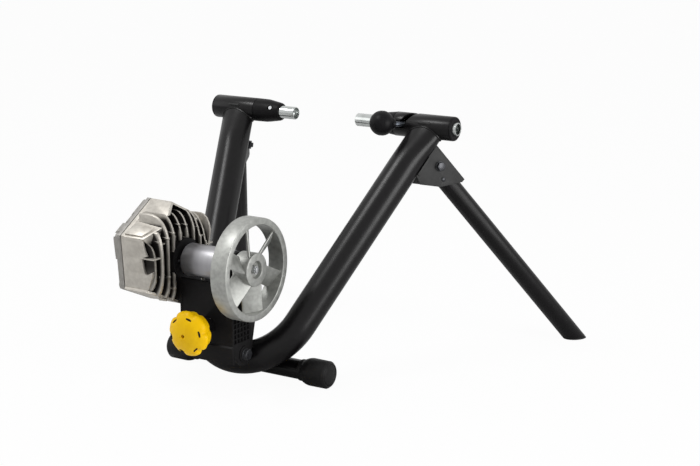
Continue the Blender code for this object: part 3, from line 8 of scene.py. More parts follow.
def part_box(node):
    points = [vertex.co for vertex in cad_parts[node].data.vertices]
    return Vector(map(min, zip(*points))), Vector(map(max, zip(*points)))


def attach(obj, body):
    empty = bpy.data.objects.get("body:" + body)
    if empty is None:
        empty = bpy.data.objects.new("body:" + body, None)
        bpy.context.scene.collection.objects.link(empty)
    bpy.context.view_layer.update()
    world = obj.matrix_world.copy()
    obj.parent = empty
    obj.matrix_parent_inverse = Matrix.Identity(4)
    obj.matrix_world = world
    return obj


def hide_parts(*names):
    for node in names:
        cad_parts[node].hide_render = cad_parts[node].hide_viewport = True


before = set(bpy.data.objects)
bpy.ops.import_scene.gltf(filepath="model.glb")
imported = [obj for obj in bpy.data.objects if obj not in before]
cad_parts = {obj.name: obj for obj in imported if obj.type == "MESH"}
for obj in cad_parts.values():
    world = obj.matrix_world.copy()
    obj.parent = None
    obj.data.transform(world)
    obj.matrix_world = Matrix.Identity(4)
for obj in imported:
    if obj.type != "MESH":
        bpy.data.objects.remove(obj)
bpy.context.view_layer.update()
toX, toY, toZ = Vector((1, 0, 0)), Vector((0, 1, 0)), Vector((0, 0, 1))
bothSides = (("left", -1), ("right", 1))
gap = 0.0003  # clearance between pieces that fit

# Where things are: the axle's line, the roller's axis and the tilt pivot, all along X
axleLow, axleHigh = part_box("right_axle")
layout = {"lean": math.radians(38.94), "splay": 0.2541095, "armSpread": 0.184, "armRadius": 0.025,
          "bendRadius": 0.094, "floorGap": 0.010, "unitBack": 0.3201, "unitHeight": 0.1927,
          "pivotBack": 0.3055, "pivotHeight": 0.0560}
lean, splay, armRadius = layout["lean"], layout["splay"], layout["armRadius"]
axle = Vector((0, (axleLow.y + axleHigh.y) / 2, (axleLow.z + axleHigh.z) / 2))
unit = Vector((0, axle.y - layout["unitBack"], layout["unitHeight"]))
pivot = Vector((0, axle.y - layout["pivotBack"], layout["pivotHeight"]))
downFrame = Vector((0, -math.sin(lean), -math.cos(lean)))
outFrame = Vector((0, -math.cos(lean), math.sin(lean)))
bendDrop = (axle.z - layout["floorGap"] - armRadius) / math.cos(lean)  # to the bend's lowest point
armRun = -math.sin(splay) * toX + math.cos(splay) * downFrame  # down the right arm


# How pieces are picked, shaped and finished
def clearAll():
    if bpy.context.mode != "OBJECT":
        bpy.ops.object.mode_set(mode="OBJECT")
    bpy.ops.object.select_all(action="DESELECT")


def pick(piece):
    clearAll()
    piece.select_set(True)
    bpy.context.view_layer.objects.active = piece


def edit(piece):
    pick(piece)
    bpy.ops.object.mode_set(mode="EDIT")
    bpy.ops.mesh.select_mode(type="VERT")
    bpy.ops.mesh.select_all(action="SELECT")


def leaveEdit():
    bpy.ops.object.mode_set(mode="OBJECT")


def closeUp(piece):  # its faces are turned outwards
    bpy.ops.mesh.select_all(action="SELECT")
    bpy.ops.mesh.normals_make_consistent(inside=False)
    leaveEdit()
    return piece


def closeEnds(hollow):
    bpy.ops.mesh.select_all(action="DESELECT")
    bpy.ops.mesh.select_non_manifold()
    if hollow:
        bpy.ops.mesh.bridge_edge_loops()
    else:
        bpy.ops.mesh.fill_holes(sides=0)


def circle(count, radius=1, fill="NOTHING"):
    clearAll()
    bpy.ops.mesh.primitive_circle_add(vertices=count, radius=radius, fill_type=fill)
    return bpy.context.object


def extrude(step):
    bpy.ops.mesh.extrude_region_move(TRANSFORM_OT_translate={"value": step})


def applyPlace(piece):
    pick(piece)
    bpy.ops.object.transform_apply(location=True, rotation=True, scale=True)
    return piece


def layOn(piece, origin, x, y, z):
    piece.matrix_world = Matrix.Translation(origin) @ Matrix((x, y, z)).transposed().to_4x4()
    return applyPlace(piece)


def layAlong(piece, origin, axis, roll=None):  # its Z goes along the axis, its X along roll
    z = axis.normalized()
    x = roll if roll else (toZ if abs(z.z) < 0.9 else toY)
    x = (x - z * x.dot(z)).normalized()
    return layOn(piece, origin, x, z.cross(x), z)


def turned(profile, origin, axis, count=96, hollow=True, roll=None):  # a ring extruded and scaled
    along, radius = profile[0]
    piece = circle(count, radius)
    edit(piece)
    bpy.ops.transform.translate(value=(0, 0, along))
    for nextAlong, nextRadius in profile[1:]:
        extrude((0, 0, nextAlong - along))
        ratio = nextRadius / radius
        bpy.ops.transform.resize(value=(ratio, ratio, 1), center_override=(0, 0, nextAlong))
        along, radius = nextAlong, nextRadius
    closeEnds(hollow)
    return layAlong(closeUp(piece), origin, axis, roll)


def rod(origin, axis, start, end, radius, count=64):
    return turned([(start, radius), (end, radius)], origin, axis, count, False)


def plate(outline, first, second, start, end, origin=Vector()):  # an outline pulled along first x second
    piece = circle(len(outline), 1, "NGON")
    for corner, (x, y) in zip(piece.data.vertices, outline):
        corner.co = (x, y, start)
    edit(piece)
    extrude((0, 0, end - start))
    return layOn(closeUp(piece), origin, first, second, first.cross(second))


def hull(corners, origin=unit):  # the closed form round a few points
    piece = circle(len(corners))
    for corner, place in zip(piece.data.vertices, corners):
        corner.co = origin + Vector(place)
    edit(piece)
    bpy.ops.mesh.convex_hull()
    return closeUp(piece)


def block(low, high):
    clearAll()
    middle = [(a + b) / 2 for a, b in zip(low, high)]
    bpy.ops.mesh.primitive_cube_add(size=1, location=middle, scale=[b - a for a, b in zip(low, high)])
    return applyPlace(bpy.context.object)


def loft(rings, hollow=False):  # a ring is extruded and laid on each outline in turn
    piece = circle(len(rings[0]))
    edit(piece)
    last = list(range(len(rings[0])))
    for number, ring in enumerate(rings):
        if number:
            bpy.ops.mesh.extrude_region_move()
        form = bmesh.from_edit_mesh(piece.data)
        form.verts.ensure_lookup_table()
        if number:
            form.verts.index_update()
            last = [next(edge.other_vert(form.verts[place]).index for edge in form.verts[place].link_edges
                         if edge.other_vert(form.verts[place]).select) for place in last]
        for place, target in zip(last, ring):
            form.verts[place].co = target
        bmesh.update_edit_mesh(piece.data)
    closeEnds(hollow)
    return closeUp(piece)


def wire(path, radius, count=20, closed=False):  # a round wire along a path
    curve = bpy.data.curves.new("path", "CURVE")
    curve.dimensions = "3D"
    curve.bevel_depth = radius
    curve.bevel_resolution = max(count // 4 - 1, 1)
    curve.use_fill_caps = True
    run = curve.splines.new("POLY")
    run.points.add(len(path) - 1)
    run.use_cyclic_u = closed
    for point, place in zip(run.points, path):
        point.co = (*place, 1)
    piece = bpy.data.objects.new("wire", curve)
    bpy.context.scene.collection.objects.link(piece)
    pick(piece)
    bpy.ops.object.convert(target="MESH")
    piece = bpy.context.object
    edit(piece)
    bpy.ops.mesh.remove_doubles(threshold=0.00001)
    return closeUp(piece)


def twin(piece):
    other = piece.copy()
    other.data = piece.data.copy()
    bpy.context.scene.collection.objects.link(other)
    return other


def applied(piece, kind, **settings):
    modifier = piece.modifiers.new(kind, kind)
    for label, value in settings.items():
        setattr(modifier, label, value)
    pick(piece)
    bpy.ops.object.modifier_apply(modifier=modifier.name)
    return piece


def carve(piece, cutter, operation="DIFFERENCE"):
    applied(piece, "BOOLEAN", operation=operation, object=cutter)
    bpy.data.objects.remove(cutter)
    return piece


def grow(piece, addition):
    return carve(piece, addition, "UNION")


def cutAway(piece, place, normal):  # what lies past the plane goes and the cut is filled
    edit(piece)
    bpy.ops.mesh.bisect(plane_co=place, plane_no=normal, use_fill=True, clear_outer=True)
    leaveEdit()
    return piece


def softened(piece, width, segments=2, limit=32):
    return applied(piece, "BEVEL", width=width, segments=segments, limit_method="ANGLE",
                   angle_limit=math.radians(limit))


def joined(pieces):
    pick(pieces[0])
    for piece in pieces:
        piece.select_set(True)
    bpy.ops.object.join()
    return pieces[0]


def fineCopy(node, width, segments):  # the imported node's shape with soft edges
    clearAll()
    piece = bpy.data.objects.new(node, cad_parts[node].data.copy())
    bpy.context.scene.collection.objects.link(piece)
    piece.data.materials.clear()
    edit(piece)
    bpy.ops.mesh.remove_doubles(threshold=0.000005)
    bpy.ops.mesh.dissolve_limited(angle_limit=math.radians(1.5))
    leaveEdit()
    return softened(piece, width, segments) if width else piece


def nodeOf(name):  # leftHeadTube stands for left_head_tube
    return "".join(letter if letter.islower() else "_" + letter.lower() for letter in name)


def done(piece, name, body, coat, node=None, standsFor=True, angle=34):
    piece.name = name
    piece.data.name = name
    piece.data.materials.clear()
    piece.data.materials.append(finish[coat])
    pick(piece)
    bpy.ops.object.shade_smooth_by_angle(angle=math.radians(angle))
    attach(piece, body)
    if standsFor:
        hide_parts(node or nodeOf(name))
    return piece


def arc(centre, radius, start, end, steps):
    turns = [math.radians(start + (end - start) * step / steps) for step in range(steps + 1)]
    return [(centre[0] + radius * math.cos(turn), centre[1] + radius * math.sin(turn)) for turn in turns]


def roundedEdge(along, radius, edge, side):  # side is 1 where the profile starts and -1 where it ends
    points = [(along, radius - edge), (along + side * edge * 0.3, radius - edge * 0.3),
              (along + side * edge, radius)]
    return points if side > 0 else points[::-1]


def backRay(turn):  # from the axle's line to the back, turned upwards
    return -math.cos(turn) * toY + math.sin(turn) * toZ


def mirroredX(vector, side):
    return Vector((vector.x * side, vector.y, vector.z))


# The fluid unit's housing, from its centre: the finShade group reads it too
casing = {"seam": 0.1140, "gasket": 0.0008, "hub": 0.0585, "hubRadius": 0.0380, "upper": (0.0720, 0.0410),
          "lower": (0.0650, -0.0430), "top": 0.0850, "bottom": -0.0720, "steps": 12,
          "fins": (-0.0620, -0.0530, -0.0400, -0.0270, -0.0110, 0.0046, 0.0204, 0.0362, 0.0500, 0.0610),
          "thick": 0.0030, "reach": 0.0490, "root": 0.1030, "dome": 0.0810, "edge": 0.0340, "inset": 0.0010,
          "chamber": 0.0500, "chamberFloor": 0.0880, "skin": 0.0045, "roofFin": 1, "roofInset": 0.0045,
          "core": ((0.1070, 0.985), (0.1000, 0.92), (0.0850, 0.80), (0.0700, 0.66))}


def casingCorners():
    upper, lower = casing["upper"], casing["lower"]
    return [(0.0, casing["top"]), (-upper[0], upper[1]), (-lower[0], lower[1]), (0.0, casing["bottom"]),
            lower, upper]


# Shared effects, one node group each
def newGroup(name, inputs, outputs):
    group = bpy.data.node_groups.new(name, "ShaderNodeTree")
    for label, value in inputs.items():
        socket = group.interface.new_socket(name=label, in_out="INPUT", socket_type="NodeSocketFloat")
        socket.default_value = value
    for label in outputs:
        group.interface.new_socket(name=label, in_out="OUTPUT", socket_type="NodeSocketFloat")
    return group, group.nodes.new("NodeGroupInput").outputs, group.nodes.new("NodeGroupOutput").inputs


def addNode(tree, kind, inputs=None, **settings):  # an input is a number, a colour or another node's output
    node = tree.nodes.new(kind)
    for label, value in settings.items():
        setattr(node, label, value)
    for socket, value in (inputs or {}).items():
        if isinstance(value, bpy.types.NodeSocket):
            tree.links.new(value, node.inputs[socket])
        else:
            node.inputs[socket].default_value = value
    return node


def mathNodes(tree):  # a short way to add one sum after another
    def add(operation, first, second=0.0):
        return addNode(tree, "ShaderNodeMath", {0: first, 1: second}, operation=operation).outputs[0]
    return add


def buildGrain():  # fine and coarse relief of moulded, cast or coated surfaces
    group, inside, outside = newGroup("surfaceGrain", {"Scale": 900.0, "Coarse": 0.3}, ("Height", "Mottle"))
    place = addNode(group, "ShaderNodeTexCoord").outputs["Object"]
    coarseScale = mathNodes(group)("MULTIPLY", inside["Scale"], 0.09)
    fine, coarse = (addNode(group, "ShaderNodeTexNoise", {"Vector": place, "Scale": scale, "Detail": detail,
                                                          "Roughness": roughness}).outputs["Fac"]
                    for scale, detail, roughness in ((inside["Scale"], 3.0, 0.6), (coarseScale, 4.0, 0.55)))
    blend = addNode(group, "ShaderNodeMix", {0: inside["Coarse"], 2: fine, 3: coarse}, data_type="FLOAT")
    group.links.new(blend.outputs[0], outside["Height"])
    group.links.new(coarse, outside["Mottle"])
    return group


def buildTurnedLines():  # fine rings left by a lathe, round the X axis through a piece
    group, inside, outside = newGroup("turnedLines", {"Scale": 2600.0}, ("Height", "Shade"))
    place = addNode(group, "ShaderNodeTexCoord").outputs["Object"]
    stretch = addNode(group, "ShaderNodeMapping", {"Vector": place, "Scale": (1.0, 0.02, 0.02)})
    stretch = stretch.outputs["Vector"]
    lines = addNode(group, "ShaderNodeTexNoise", {"Vector": stretch, "Scale": inside["Scale"], "Detail": 2.0,
                                                  "Roughness": 0.7})
    slow = addNode(group, "ShaderNodeTexNoise", {"Vector": stretch, "Scale": 60.0, "Detail": 2.0})
    group.links.new(lines.outputs["Fac"], outside["Height"])
    group.links.new(slow.outputs["Fac"], outside["Shade"])
    return group


# how far the painted shade between the fins reaches
finShade = {"reach": 0.010, "rimReach": 4.5, "roofHeight": 0.045, "underRoof": -2.5}


# the mask for the painted shade on the housing
def buildFinShade():  # 1 on outer faces and fin rims, falling to 0 on the fins' sides and down in the gaps
    group, inside, outside = newGroup("finShade", {"Reach": finShade["reach"]}, ("Open",))
    add = mathNodes(group)
    place = addNode(group, "ShaderNodeTexCoord").outputs
    centred = addNode(group, "ShaderNodeVectorMath", {0: place["Object"], 1: unit}, operation="SUBTRACT")
    parts = addNode(group, "ShaderNodeSeparateXYZ", {0: centred.outputs[0]}).outputs
    across, up = add("ABSOLUTE", parts["Y"]), parts["Z"]

    def distance(first, second):
        return add("SQRT", add("ADD", add("MULTIPLY", first, first), add("MULTIPLY", second, second)))

    back = add("MAXIMUM", add("ADD", parts["X"], casing["reach"] + casing["edge"]), 0.0)
    beyond = add("MAXIMUM", add("SUBTRACT", distance(across, up), casing["dome"] - casing["edge"]), 0.0)
    sink = add("SUBTRACT", casing["edge"], distance(back, beyond))
    corners = casingCorners()
    for first, second in ((0, 5), (5, 4), (4, 3)):
        low, high = corners[first], corners[second]
        side = Vector((high[1] - low[1], low[0] - high[0])).normalized()
        side = side if side.x >= 0 and side.dot(Vector(low)) > 0 else -side
        reachOut = add("ADD", add("MULTIPLY", across, side.x), add("MULTIPLY", up, side.y))
        sink = add("MINIMUM", sink, add("SUBTRACT", side.dot(Vector(low)), reachOut))
    facing = addNode(group, "ShaderNodeSeparateXYZ", {0: place["Normal"]}).outputs
    rim = add("SUBTRACT", 1.0, add("ABSOLUTE", facing["Y"]))
    reach = add("MULTIPLY", inside["Reach"], add("ADD", 1.0, add("MULTIPLY", rim, finShade["rimReach"])))
    share = add("DIVIDE", add("MAXIMUM", sink, 0.0), reach)
    under = add("MULTIPLY", add("GREATER_THAN", up, finShade["roofHeight"]),
                add("MAXIMUM", add("MULTIPLY", facing["Z"], finShade["underRoof"]), 0.0))
    ramp = addNode(group, "ShaderNodeMapRange", {"Value": add("ADD", share, under), "To Min": 1.0,
                                                 "To Max": 0.0}, interpolation_type="SMOOTHSTEP")
    group.links.new(ramp.outputs["Result"], outside["Open"])
    return group


grainGroup = buildGrain()
linesGroup = buildTurnedLines()
finShadeGroup = buildFinShade()


def makeFinish(name, values):
    material = bpy.data.materials.new(name)
    material.use_nodes = True
    tree = material.node_tree
    shader = tree.nodes["Principled BSDF"].inputs
    shader["Metallic"].default_value = values.get("metallic", 0.0)
    shader["IOR"].default_value = values.get("ior", 1.5)
    if "lines" in values:
        grain = addNode(tree, "ShaderNodeGroup", {"Scale": values["grain"]}, node_tree=linesGroup).outputs
    else:
        scales = {"Scale": values["grain"], "Coarse": values.get("coarse", 0.3)}
        grain = addNode(tree, "ShaderNodeGroup", scales, node_tree=grainGroup).outputs
    mask = grain["Shade" if "lines" in values else "Mottle"]
    spread = addNode(tree, "ShaderNodeMapRange", {"Value": mask, "From Min": 0.35, "From Max": 0.65})
    spread = spread.outputs["Result"]
    tint = addNode(tree, "ShaderNodeMix", {0: spread, 6: (*values["dark"], 1), 7: (*values["light"], 1)},
                   data_type="RGBA").outputs[2]
    if "gaps" in values:  # painted shade: a darker colour on the fins' sides, down in the gaps and under the roof
        shade = addNode(tree, "ShaderNodeGroup", {"Reach": values["gapShadeReach"]}, node_tree=finShadeGroup)
        tint = addNode(tree, "ShaderNodeMix", {0: shade.outputs["Open"], 6: (*values["gaps"], 1), 7: tint},
                       data_type="RGBA").outputs[2]
    dull, rough = values["roughness"]
    gloss = addNode(tree, "ShaderNodeMapRange", {"Value": spread, "To Min": dull, "To Max": rough})
    bump = addNode(tree, "ShaderNodeBump", {"Strength": values["relief"], "Height": grain["Height"],
                                            "Distance": values.get("depth", 0.0002)})
    for output, label in ((tint, "Base Color"), (gloss.outputs["Result"], "Roughness"),
                          (bump.outputs["Normal"], "Normal")):
        tree.links.new(output, shader[label])
    return material


finishes = {
    "powderCoat": {"slot": "frame_paint", "dark": (0.0036, 0.0032, 0.0036), "light": (0.0046, 0.0042, 0.0046),
                   "roughness": (0.29, 0.33), "grain": 1300, "coarse": 0.35, "relief": 0.030, "ior": 1.29},
    "legCoat": {"slot": "leg_paint", "dark": (0.0042, 0.0038, 0.0042), "light": (0.0054, 0.0050, 0.0054),
                "roughness": (0.34, 0.39), "grain": 1300, "coarse": 0.35, "relief": 0.040, "ior": 1.24},
    # the frame's black paint lightened to grey: painted sheen on the flat brackets, painted highlight on the
    # head lugs
    "paintedSheenCoat": {"slot": "frame_paint", "dark": (0.030, 0.030, 0.030), "light": (0.038, 0.038, 0.038),
                    "roughness": (0.42, 0.48), "grain": 1300, "coarse": 0.35, "relief": 0.040, "ior": 1.22},
    "blackNylon": {"slot": "black_plastic", "dark": (0.0045, 0.0042, 0.0046),
                   "light": (0.0060, 0.0057, 0.0061), "roughness": (0.40, 0.47), "grain": 2400, "coarse": 0.2,
                   "relief": 0.05, "ior": 1.20},
    "ballPlastic": {"slot": "black_plastic", "dark": (0.0050, 0.0047, 0.0054),
                    "light": (0.0064, 0.0061, 0.0068), "roughness": (0.40, 0.46), "grain": 1800,
                    "relief": 0.04, "ior": 1.20},
    "yokeNylon": {"slot": "yoke_plastic", "dark": (0.0070, 0.0066, 0.0070), "light": (0.0095, 0.0091, 0.0095),
                  "roughness": (0.46, 0.54), "grain": 2400, "coarse": 0.25, "relief": 0.07, "ior": 1.20},
    # the housing's gap colour is painted shade on the fins' sides, in the gaps and under the roof
    "castMetal": {"slot": "housing_metal", "dark": (0.43, 0.405, 0.365), "light": (0.52, 0.495, 0.450),
                  "roughness": (0.44, 0.54), "metallic": 0.75, "grain": 1500, "coarse": 0.4, "relief": 0.14,
                  "depth": 0.0003, "gaps": (0.014, 0.012, 0.011), "gapShadeReach": 0.0050},
    "coverMetal": {"slot": "housing_metal", "dark": (0.27, 0.26, 0.245), "light": (0.34, 0.33, 0.31),
                   "roughness": (0.46, 0.56), "metallic": 0.75, "grain": 1500, "coarse": 0.4, "relief": 0.14,
                   "depth": 0.0003},
    "flywheelMetal": {"slot": "flywheel_metal", "dark": (0.31, 0.315, 0.298), "light": (0.40, 0.405, 0.385),
                      "roughness": (0.42, 0.52), "metallic": 0.75, "grain": 1700, "coarse": 0.35,
                      "relief": 0.10, "depth": 0.0003},
    "rollerSteel": {"slot": "roller_steel", "dark": (0.27, 0.267, 0.280), "light": (0.34, 0.337, 0.350),
                    "roughness": (0.36, 0.42), "metallic": 1.0, "lines": True, "grain": 2600, "relief": 0.02},
    "platedSteel": {"slot": "bright_steel", "dark": (0.44, 0.46, 0.45), "light": (0.56, 0.58, 0.57),
                    "roughness": (0.16, 0.24), "metallic": 1.0, "lines": True, "grain": 2200, "relief": 0.05},
    "brightSteel": {"slot": "bright_steel", "dark": (0.46, 0.47, 0.48), "light": (0.56, 0.57, 0.58),
                    "roughness": (0.24, 0.34), "metallic": 1.0, "grain": 1800, "relief": 0.06},
    "blackOxide": {"slot": "dark_steel", "dark": (0.022, 0.023, 0.026), "light": (0.036, 0.037, 0.042),
                   "roughness": (0.26, 0.36), "metallic": 0.6, "grain": 1800, "relief": 0.06},
    "leverSteel": {"slot": "dark_steel", "dark": (0.055, 0.062, 0.075), "light": (0.085, 0.094, 0.110),
                   "roughness": (0.28, 0.38), "metallic": 0.8, "grain": 1800, "relief": 0.06},
    "blackRubber": {"slot": "foot_rubber", "dark": (0.0060, 0.0058, 0.0060),
                    "light": (0.0085, 0.0083, 0.0085), "roughness": (0.44, 0.54), "grain": 1800,
                    "coarse": 0.4, "relief": 0.08, "depth": 0.0003, "ior": 1.24},
    "knobPlastic": {"slot": "knob_yellow", "dark": (0.90, 0.53, 0.0), "light": (0.94, 0.58, 0.001),
                    "roughness": (0.38, 0.46), "grain": 1200, "relief": 0.04, "ior": 1.26},
    "bushBronze": {"slot": "bushing_brass", "dark": (0.50, 0.34, 0.14), "light": (0.60, 0.43, 0.20),
                   "roughness": (0.30, 0.42), "metallic": 1.0, "grain": 1500, "relief": 0.10},
}
finish = {name: makeFinish(name, values) for name, values in finishes.items()}
print("finishes made")

# The frame tube: one arm, the bend spun round its centre, the other arm, the pressed tops and their saddles
frameTube = {"sides": 72, "bendSteps": 56, "saddleRadius": 0.0187, "pinchLength": 0.078, "thin": 0.34,
             "flare": 0.13, "cuts": 9}
weld = {"bead": 0.0017, "off": 0.0004, "steps": 96, "wave": 0.00022, "waves": 30, "lugHalf": 0.0105,
        "lugRadius": 0.0019, "lugDrop": 0.0050, "lugIn": 0.001}


def armMiddle(drop):  # how far out an arm's centre line is, so far down the frame
    return layout["armSpread"] - math.tan(splay) * drop


def slideEnds(tube, armLength):  # both ends are slid along their arms onto the axle's plane
    for corner in tube.data.vertices:
        drop = (corner.co - axle).dot(downFrame)
        if drop < armLength * 0.3:
            run = armRun if corner.co.x > 0 else mirroredX(armRun, -1)
            corner.co -= run * (drop / math.cos(splay))


def pressTops(tube):
    length = frameTube["pinchLength"]
    for number in range(1, frameTube["cuts"] + 1):
        edit(tube)
        at = axle + downFrame * (length * number / frameTube["cuts"])
        bpy.ops.mesh.bisect(plane_co=at, plane_no=downFrame)
        leaveEdit()
    for corner in tube.data.vertices:
        drop = (corner.co - axle).dot(downFrame)
        if drop < length:
            share = 1 - max(drop, 0.0) / length
            press = share * share * (3 - 2 * share)
            out = (corner.co - axle).dot(outFrame)
            middle = armMiddle(drop) * (1 if corner.co.x > 0 else -1)
            corner.co -= outFrame * (out * frameTube["thin"] * press)
            corner.co.x = middle + (corner.co.x - middle) * (1 + frameTube["flare"] * press)


def makeFrameTube():
    top = axle + toX * layout["armSpread"]
    bendCentre = axle + downFrame * (bendDrop - layout["bendRadius"])
    tangent = bendCentre + layout["bendRadius"] * (math.cos(splay) * toX + math.sin(splay) * downFrame)
    armLength = (tangent - top).length
    tube = layAlong(circle(frameTube["sides"], armRadius), top, armRun, outFrame)
    edit(tube)
    extrude(armRun * armLength)
    bpy.ops.mesh.spin(steps=frameTube["bendSteps"], angle=2 * splay - math.pi, center=bendCentre,
                      axis=toX.cross(downFrame))
    extrude((-math.sin(splay) * toX - math.cos(splay) * downFrame) * armLength)
    leaveEdit()
    slideEnds(tube, armLength)
    pressTops(tube)
    edit(tube)
    bpy.ops.mesh.remove_doubles(threshold=0.00001)
    bpy.ops.mesh.fill_holes(sides=0)
    bpy.ops.mesh.normals_make_consistent(inside=False)
    leaveEdit()
    for name, side in bothSides:
        carve(tube, rod(axle, toX * side, 0.13, 0.24, frameTube["saddleRadius"], 72))
    return done(tube, "frameTube", "frame", "powderCoat", "main_tube", angle=40)


def makeWelds():  # a bead and a lug where each pressed top meets its head tube
    half = armRadius * (1 + frameTube["flare"]) / math.cos(splay)
    thick, radius = armRadius * (1 - frameTube["thin"]), head["radius"] + weld["off"]
    for name, side in bothSides:
        path = []
        for step in range(weld["steps"]):
            turn = math.tau * step / weld["steps"]
            out = thick * math.sin(turn)
            drop = math.sqrt(radius ** 2 - out ** 2) + weld["off"]
            across = armMiddle(drop) + half * math.cos(turn)
            wave = weld["wave"] * math.sin(turn * weld["waves"])
            path.append(axle + toX * (side * across) + downFrame * (drop + wave) + outFrame * out)
        bead = wire(path, weld["bead"], 12, True)
        at = axle + toX * (side * (layout["armSpread"] - weld["lugIn"]))
        at = at + outFrame * (head["radius"] - weld["off"]) + downFrame * weld["lugDrop"]
        # the lug is a real weld; its grey coat is a painted highlight
        lug = softened(rod(at, toX, -weld["lugHalf"], weld["lugHalf"], weld["lugRadius"], 24), 0.0007, 2, 30)
        done(lug, name + "HeadLug", "frame", "paintedSheenCoat", standsFor=False)
        done(bead, name + "HeadWeld", "frame", "powderCoat", standsFor=False)


# Head tubes, their nose sleeves, caps and axles
head = {"radius": 0.019, "bore": 0.0163, "end": 0.2262, "leftSeam": 0.1450, "rightSeam": 0.1260,
        "edge": 0.0006, "noseEnd": 0.0915, "leftShort": 0.0055, "spigot": 0.008,
        "nose": ((0.0915, 0.0122), (0.0917, 0.0129), (0.0923, 0.0136), (0.0934, 0.0142), (0.0950, 0.0147),
                 (0.0975, 0.0151), (0.1010, 0.0156), (0.1060, 0.0163), (0.1110, 0.0170), (0.1160, 0.0177),
                 (0.1210, 0.0183), (0.1250, 0.0187)),
        "axleRadius": 0.01025, "axleBore": 0.0055, "cupRadius": 0.0086, "cupDepth": 0.0090, "leftCup": 0.0693,
        "leftLength": 0.1250, "leftMouth": 0.0060, "rightCup": 0.0510, "rightEnd": 0.2340, "mouth": 0.0082,
        "axleEdge": 0.0009, "lockX": 0.1115, "lockTurn": math.radians(28.0), "lockHole": 0.0045,
        "lockPin": ((0.0106, 0.0020), (0.0150, 0.0020), (0.0150, 0.0030), (0.0153, 0.0032), (0.0163, 0.0032),
                    (0.0166, 0.0029), (0.0166, 0.0015), (0.0157, 0.0010))}
lever = {"turn": math.radians(8.0), "sweepTurn": math.radians(104.0), "x": 0.1413, "lead": 0.0731,
         "radius": 0.0042, "fit": 0.0006, "root": 0.0030, "elbow": 0.0265, "bend": 0.007, "reach": 0.0425,
         "back": 0.0196, "ball": 0.0195, "groove": 0.0003, "sink": 0.0043, "ballSteps": 48}


def makeHeadTube(side, seam):
    profile = roundedEdge(seam, head["radius"], head["edge"], 1)
    profile += roundedEdge(head["end"], head["radius"], head["edge"], -1)
    return turned(profile + [(head["end"], head["bore"]), (seam, head["bore"])], axle, toX * side, 128)


def makeSlotCutter():
    lead = lever["lead"] / math.tau
    halfWidth = (lever["radius"] + lever["fit"]) / math.cos(math.atan2(lead, head["bore"]))
    pad = 1.25 * lever["radius"] / head["bore"]
    ends = [-0.9995, -0.985, -0.95, -0.9, -0.8, -0.65, -0.45, -0.2]
    stations = [(pad * t, math.sqrt(1 - t * t)) for t in ends]
    stations += [(lever["sweepTurn"] * step / 32, 1.0) for step in range(33)]
    stations += [(lever["sweepTurn"] - pad * t, math.sqrt(1 - t * t)) for t in reversed(ends)]
    rings = []
    for turn, share in stations:
        ray = backRay(lever["turn"] + turn)
        middle = axle + toX * (lever["x"] + lead * min(max(turn, 0.0), lever["sweepTurn"]))
        half = toX * (halfWidth * share)
        low, high = ray * (head["bore"] - 0.002), ray * (head["radius"] + 0.002)
        rings.append([middle - half + low, middle + half + low, middle + half + high, middle - half + high])
    return loft(rings)


def makeNose(name, side):
    seam = head[name + "Seam"]
    end = head["noseEnd"] + (head["leftShort"] if side < 0 else 0.0)
    last = head["nose"][-1][0]
    length = last - head["noseEnd"]
    profile = [(along + (end - head["noseEnd"]) * (last - along) / length, radius)
               for along, radius in head["nose"]]
    start, bore, spigot = seam - gap, head["axleRadius"] + gap, head["bore"] - gap
    profile += [(start - 0.0005, head["radius"]), (start, head["radius"] - 0.0005), (start, spigot)]
    profile += [(seam + head["spigot"], spigot), (seam + head["spigot"], bore), (end + 0.0008, bore)]
    nose = turned(profile + [(end, bore + 0.0008)], axle, toX * side, 128)
    if side < 0:
        ray, lock = backRay(head["lockTurn"]), axle - toX * head["lockX"]
        softened(carve(nose, rod(lock, ray, 0.009, 0.021, head["lockHole"], 48)), 0.0003, 2, 50)
        pin = turned(head["lockPin"], lock, ray, 48, False)
        done(pin, "leftLockPin", "frame", "brightSteel")
    done(nose, name + "NoseSleeve", "frame", "blackNylon")


def makeHeads():
    done(makeHeadTube(-1, head["leftSeam"]), "leftHeadTube", "frame", "powderCoat")
    right = softened(carve(makeHeadTube(1, head["rightSeam"]), makeSlotCutter()), 0.0004, 2, 40)
    done(right, "rightHeadTube", "frame", "powderCoat")
    for name, side in bothSides:
        makeNose(name, side)
    flange, plug, brim = head["end"] + gap, head["bore"] - gap, head["radius"] - 0.0002
    cap = [(flange - 0.012, plug - 0.0006), (flange - 0.0114, plug), (flange, plug), (flange, brim),
           (flange + 0.0010, brim), (flange + 0.0018, head["radius"] - 0.0007),
           (flange + 0.0024, head["radius"] - 0.0018), (flange + 0.0024, 0.012), (flange + 0.0018, 0.0112)]
    done(turned(cap, axle, -toX, 128, False), "leftEndCap", "frame", "blackNylon")
    hole = head["axleRadius"] + gap
    bush = [(flange - 0.014, plug), (flange, plug), (flange, brim),
            (flange + 0.0014, head["radius"] - 0.0004), (flange + 0.0024, head["radius"] - 0.0014),
            (flange + 0.0024, hole + 0.0005), (flange + 0.0019, hole), (flange - 0.014, hole)]
    done(turned(bush, axle, toX, 128), "rightEndBushing", "frame", "blackNylon")
    guide = [(0.178, plug), (0.186, plug), (0.186, hole), (0.178, hole)]
    done(softened(turned(guide, axle, toX), 0.0004), "rightAxleGuide", "axle_guide", "blackNylon")


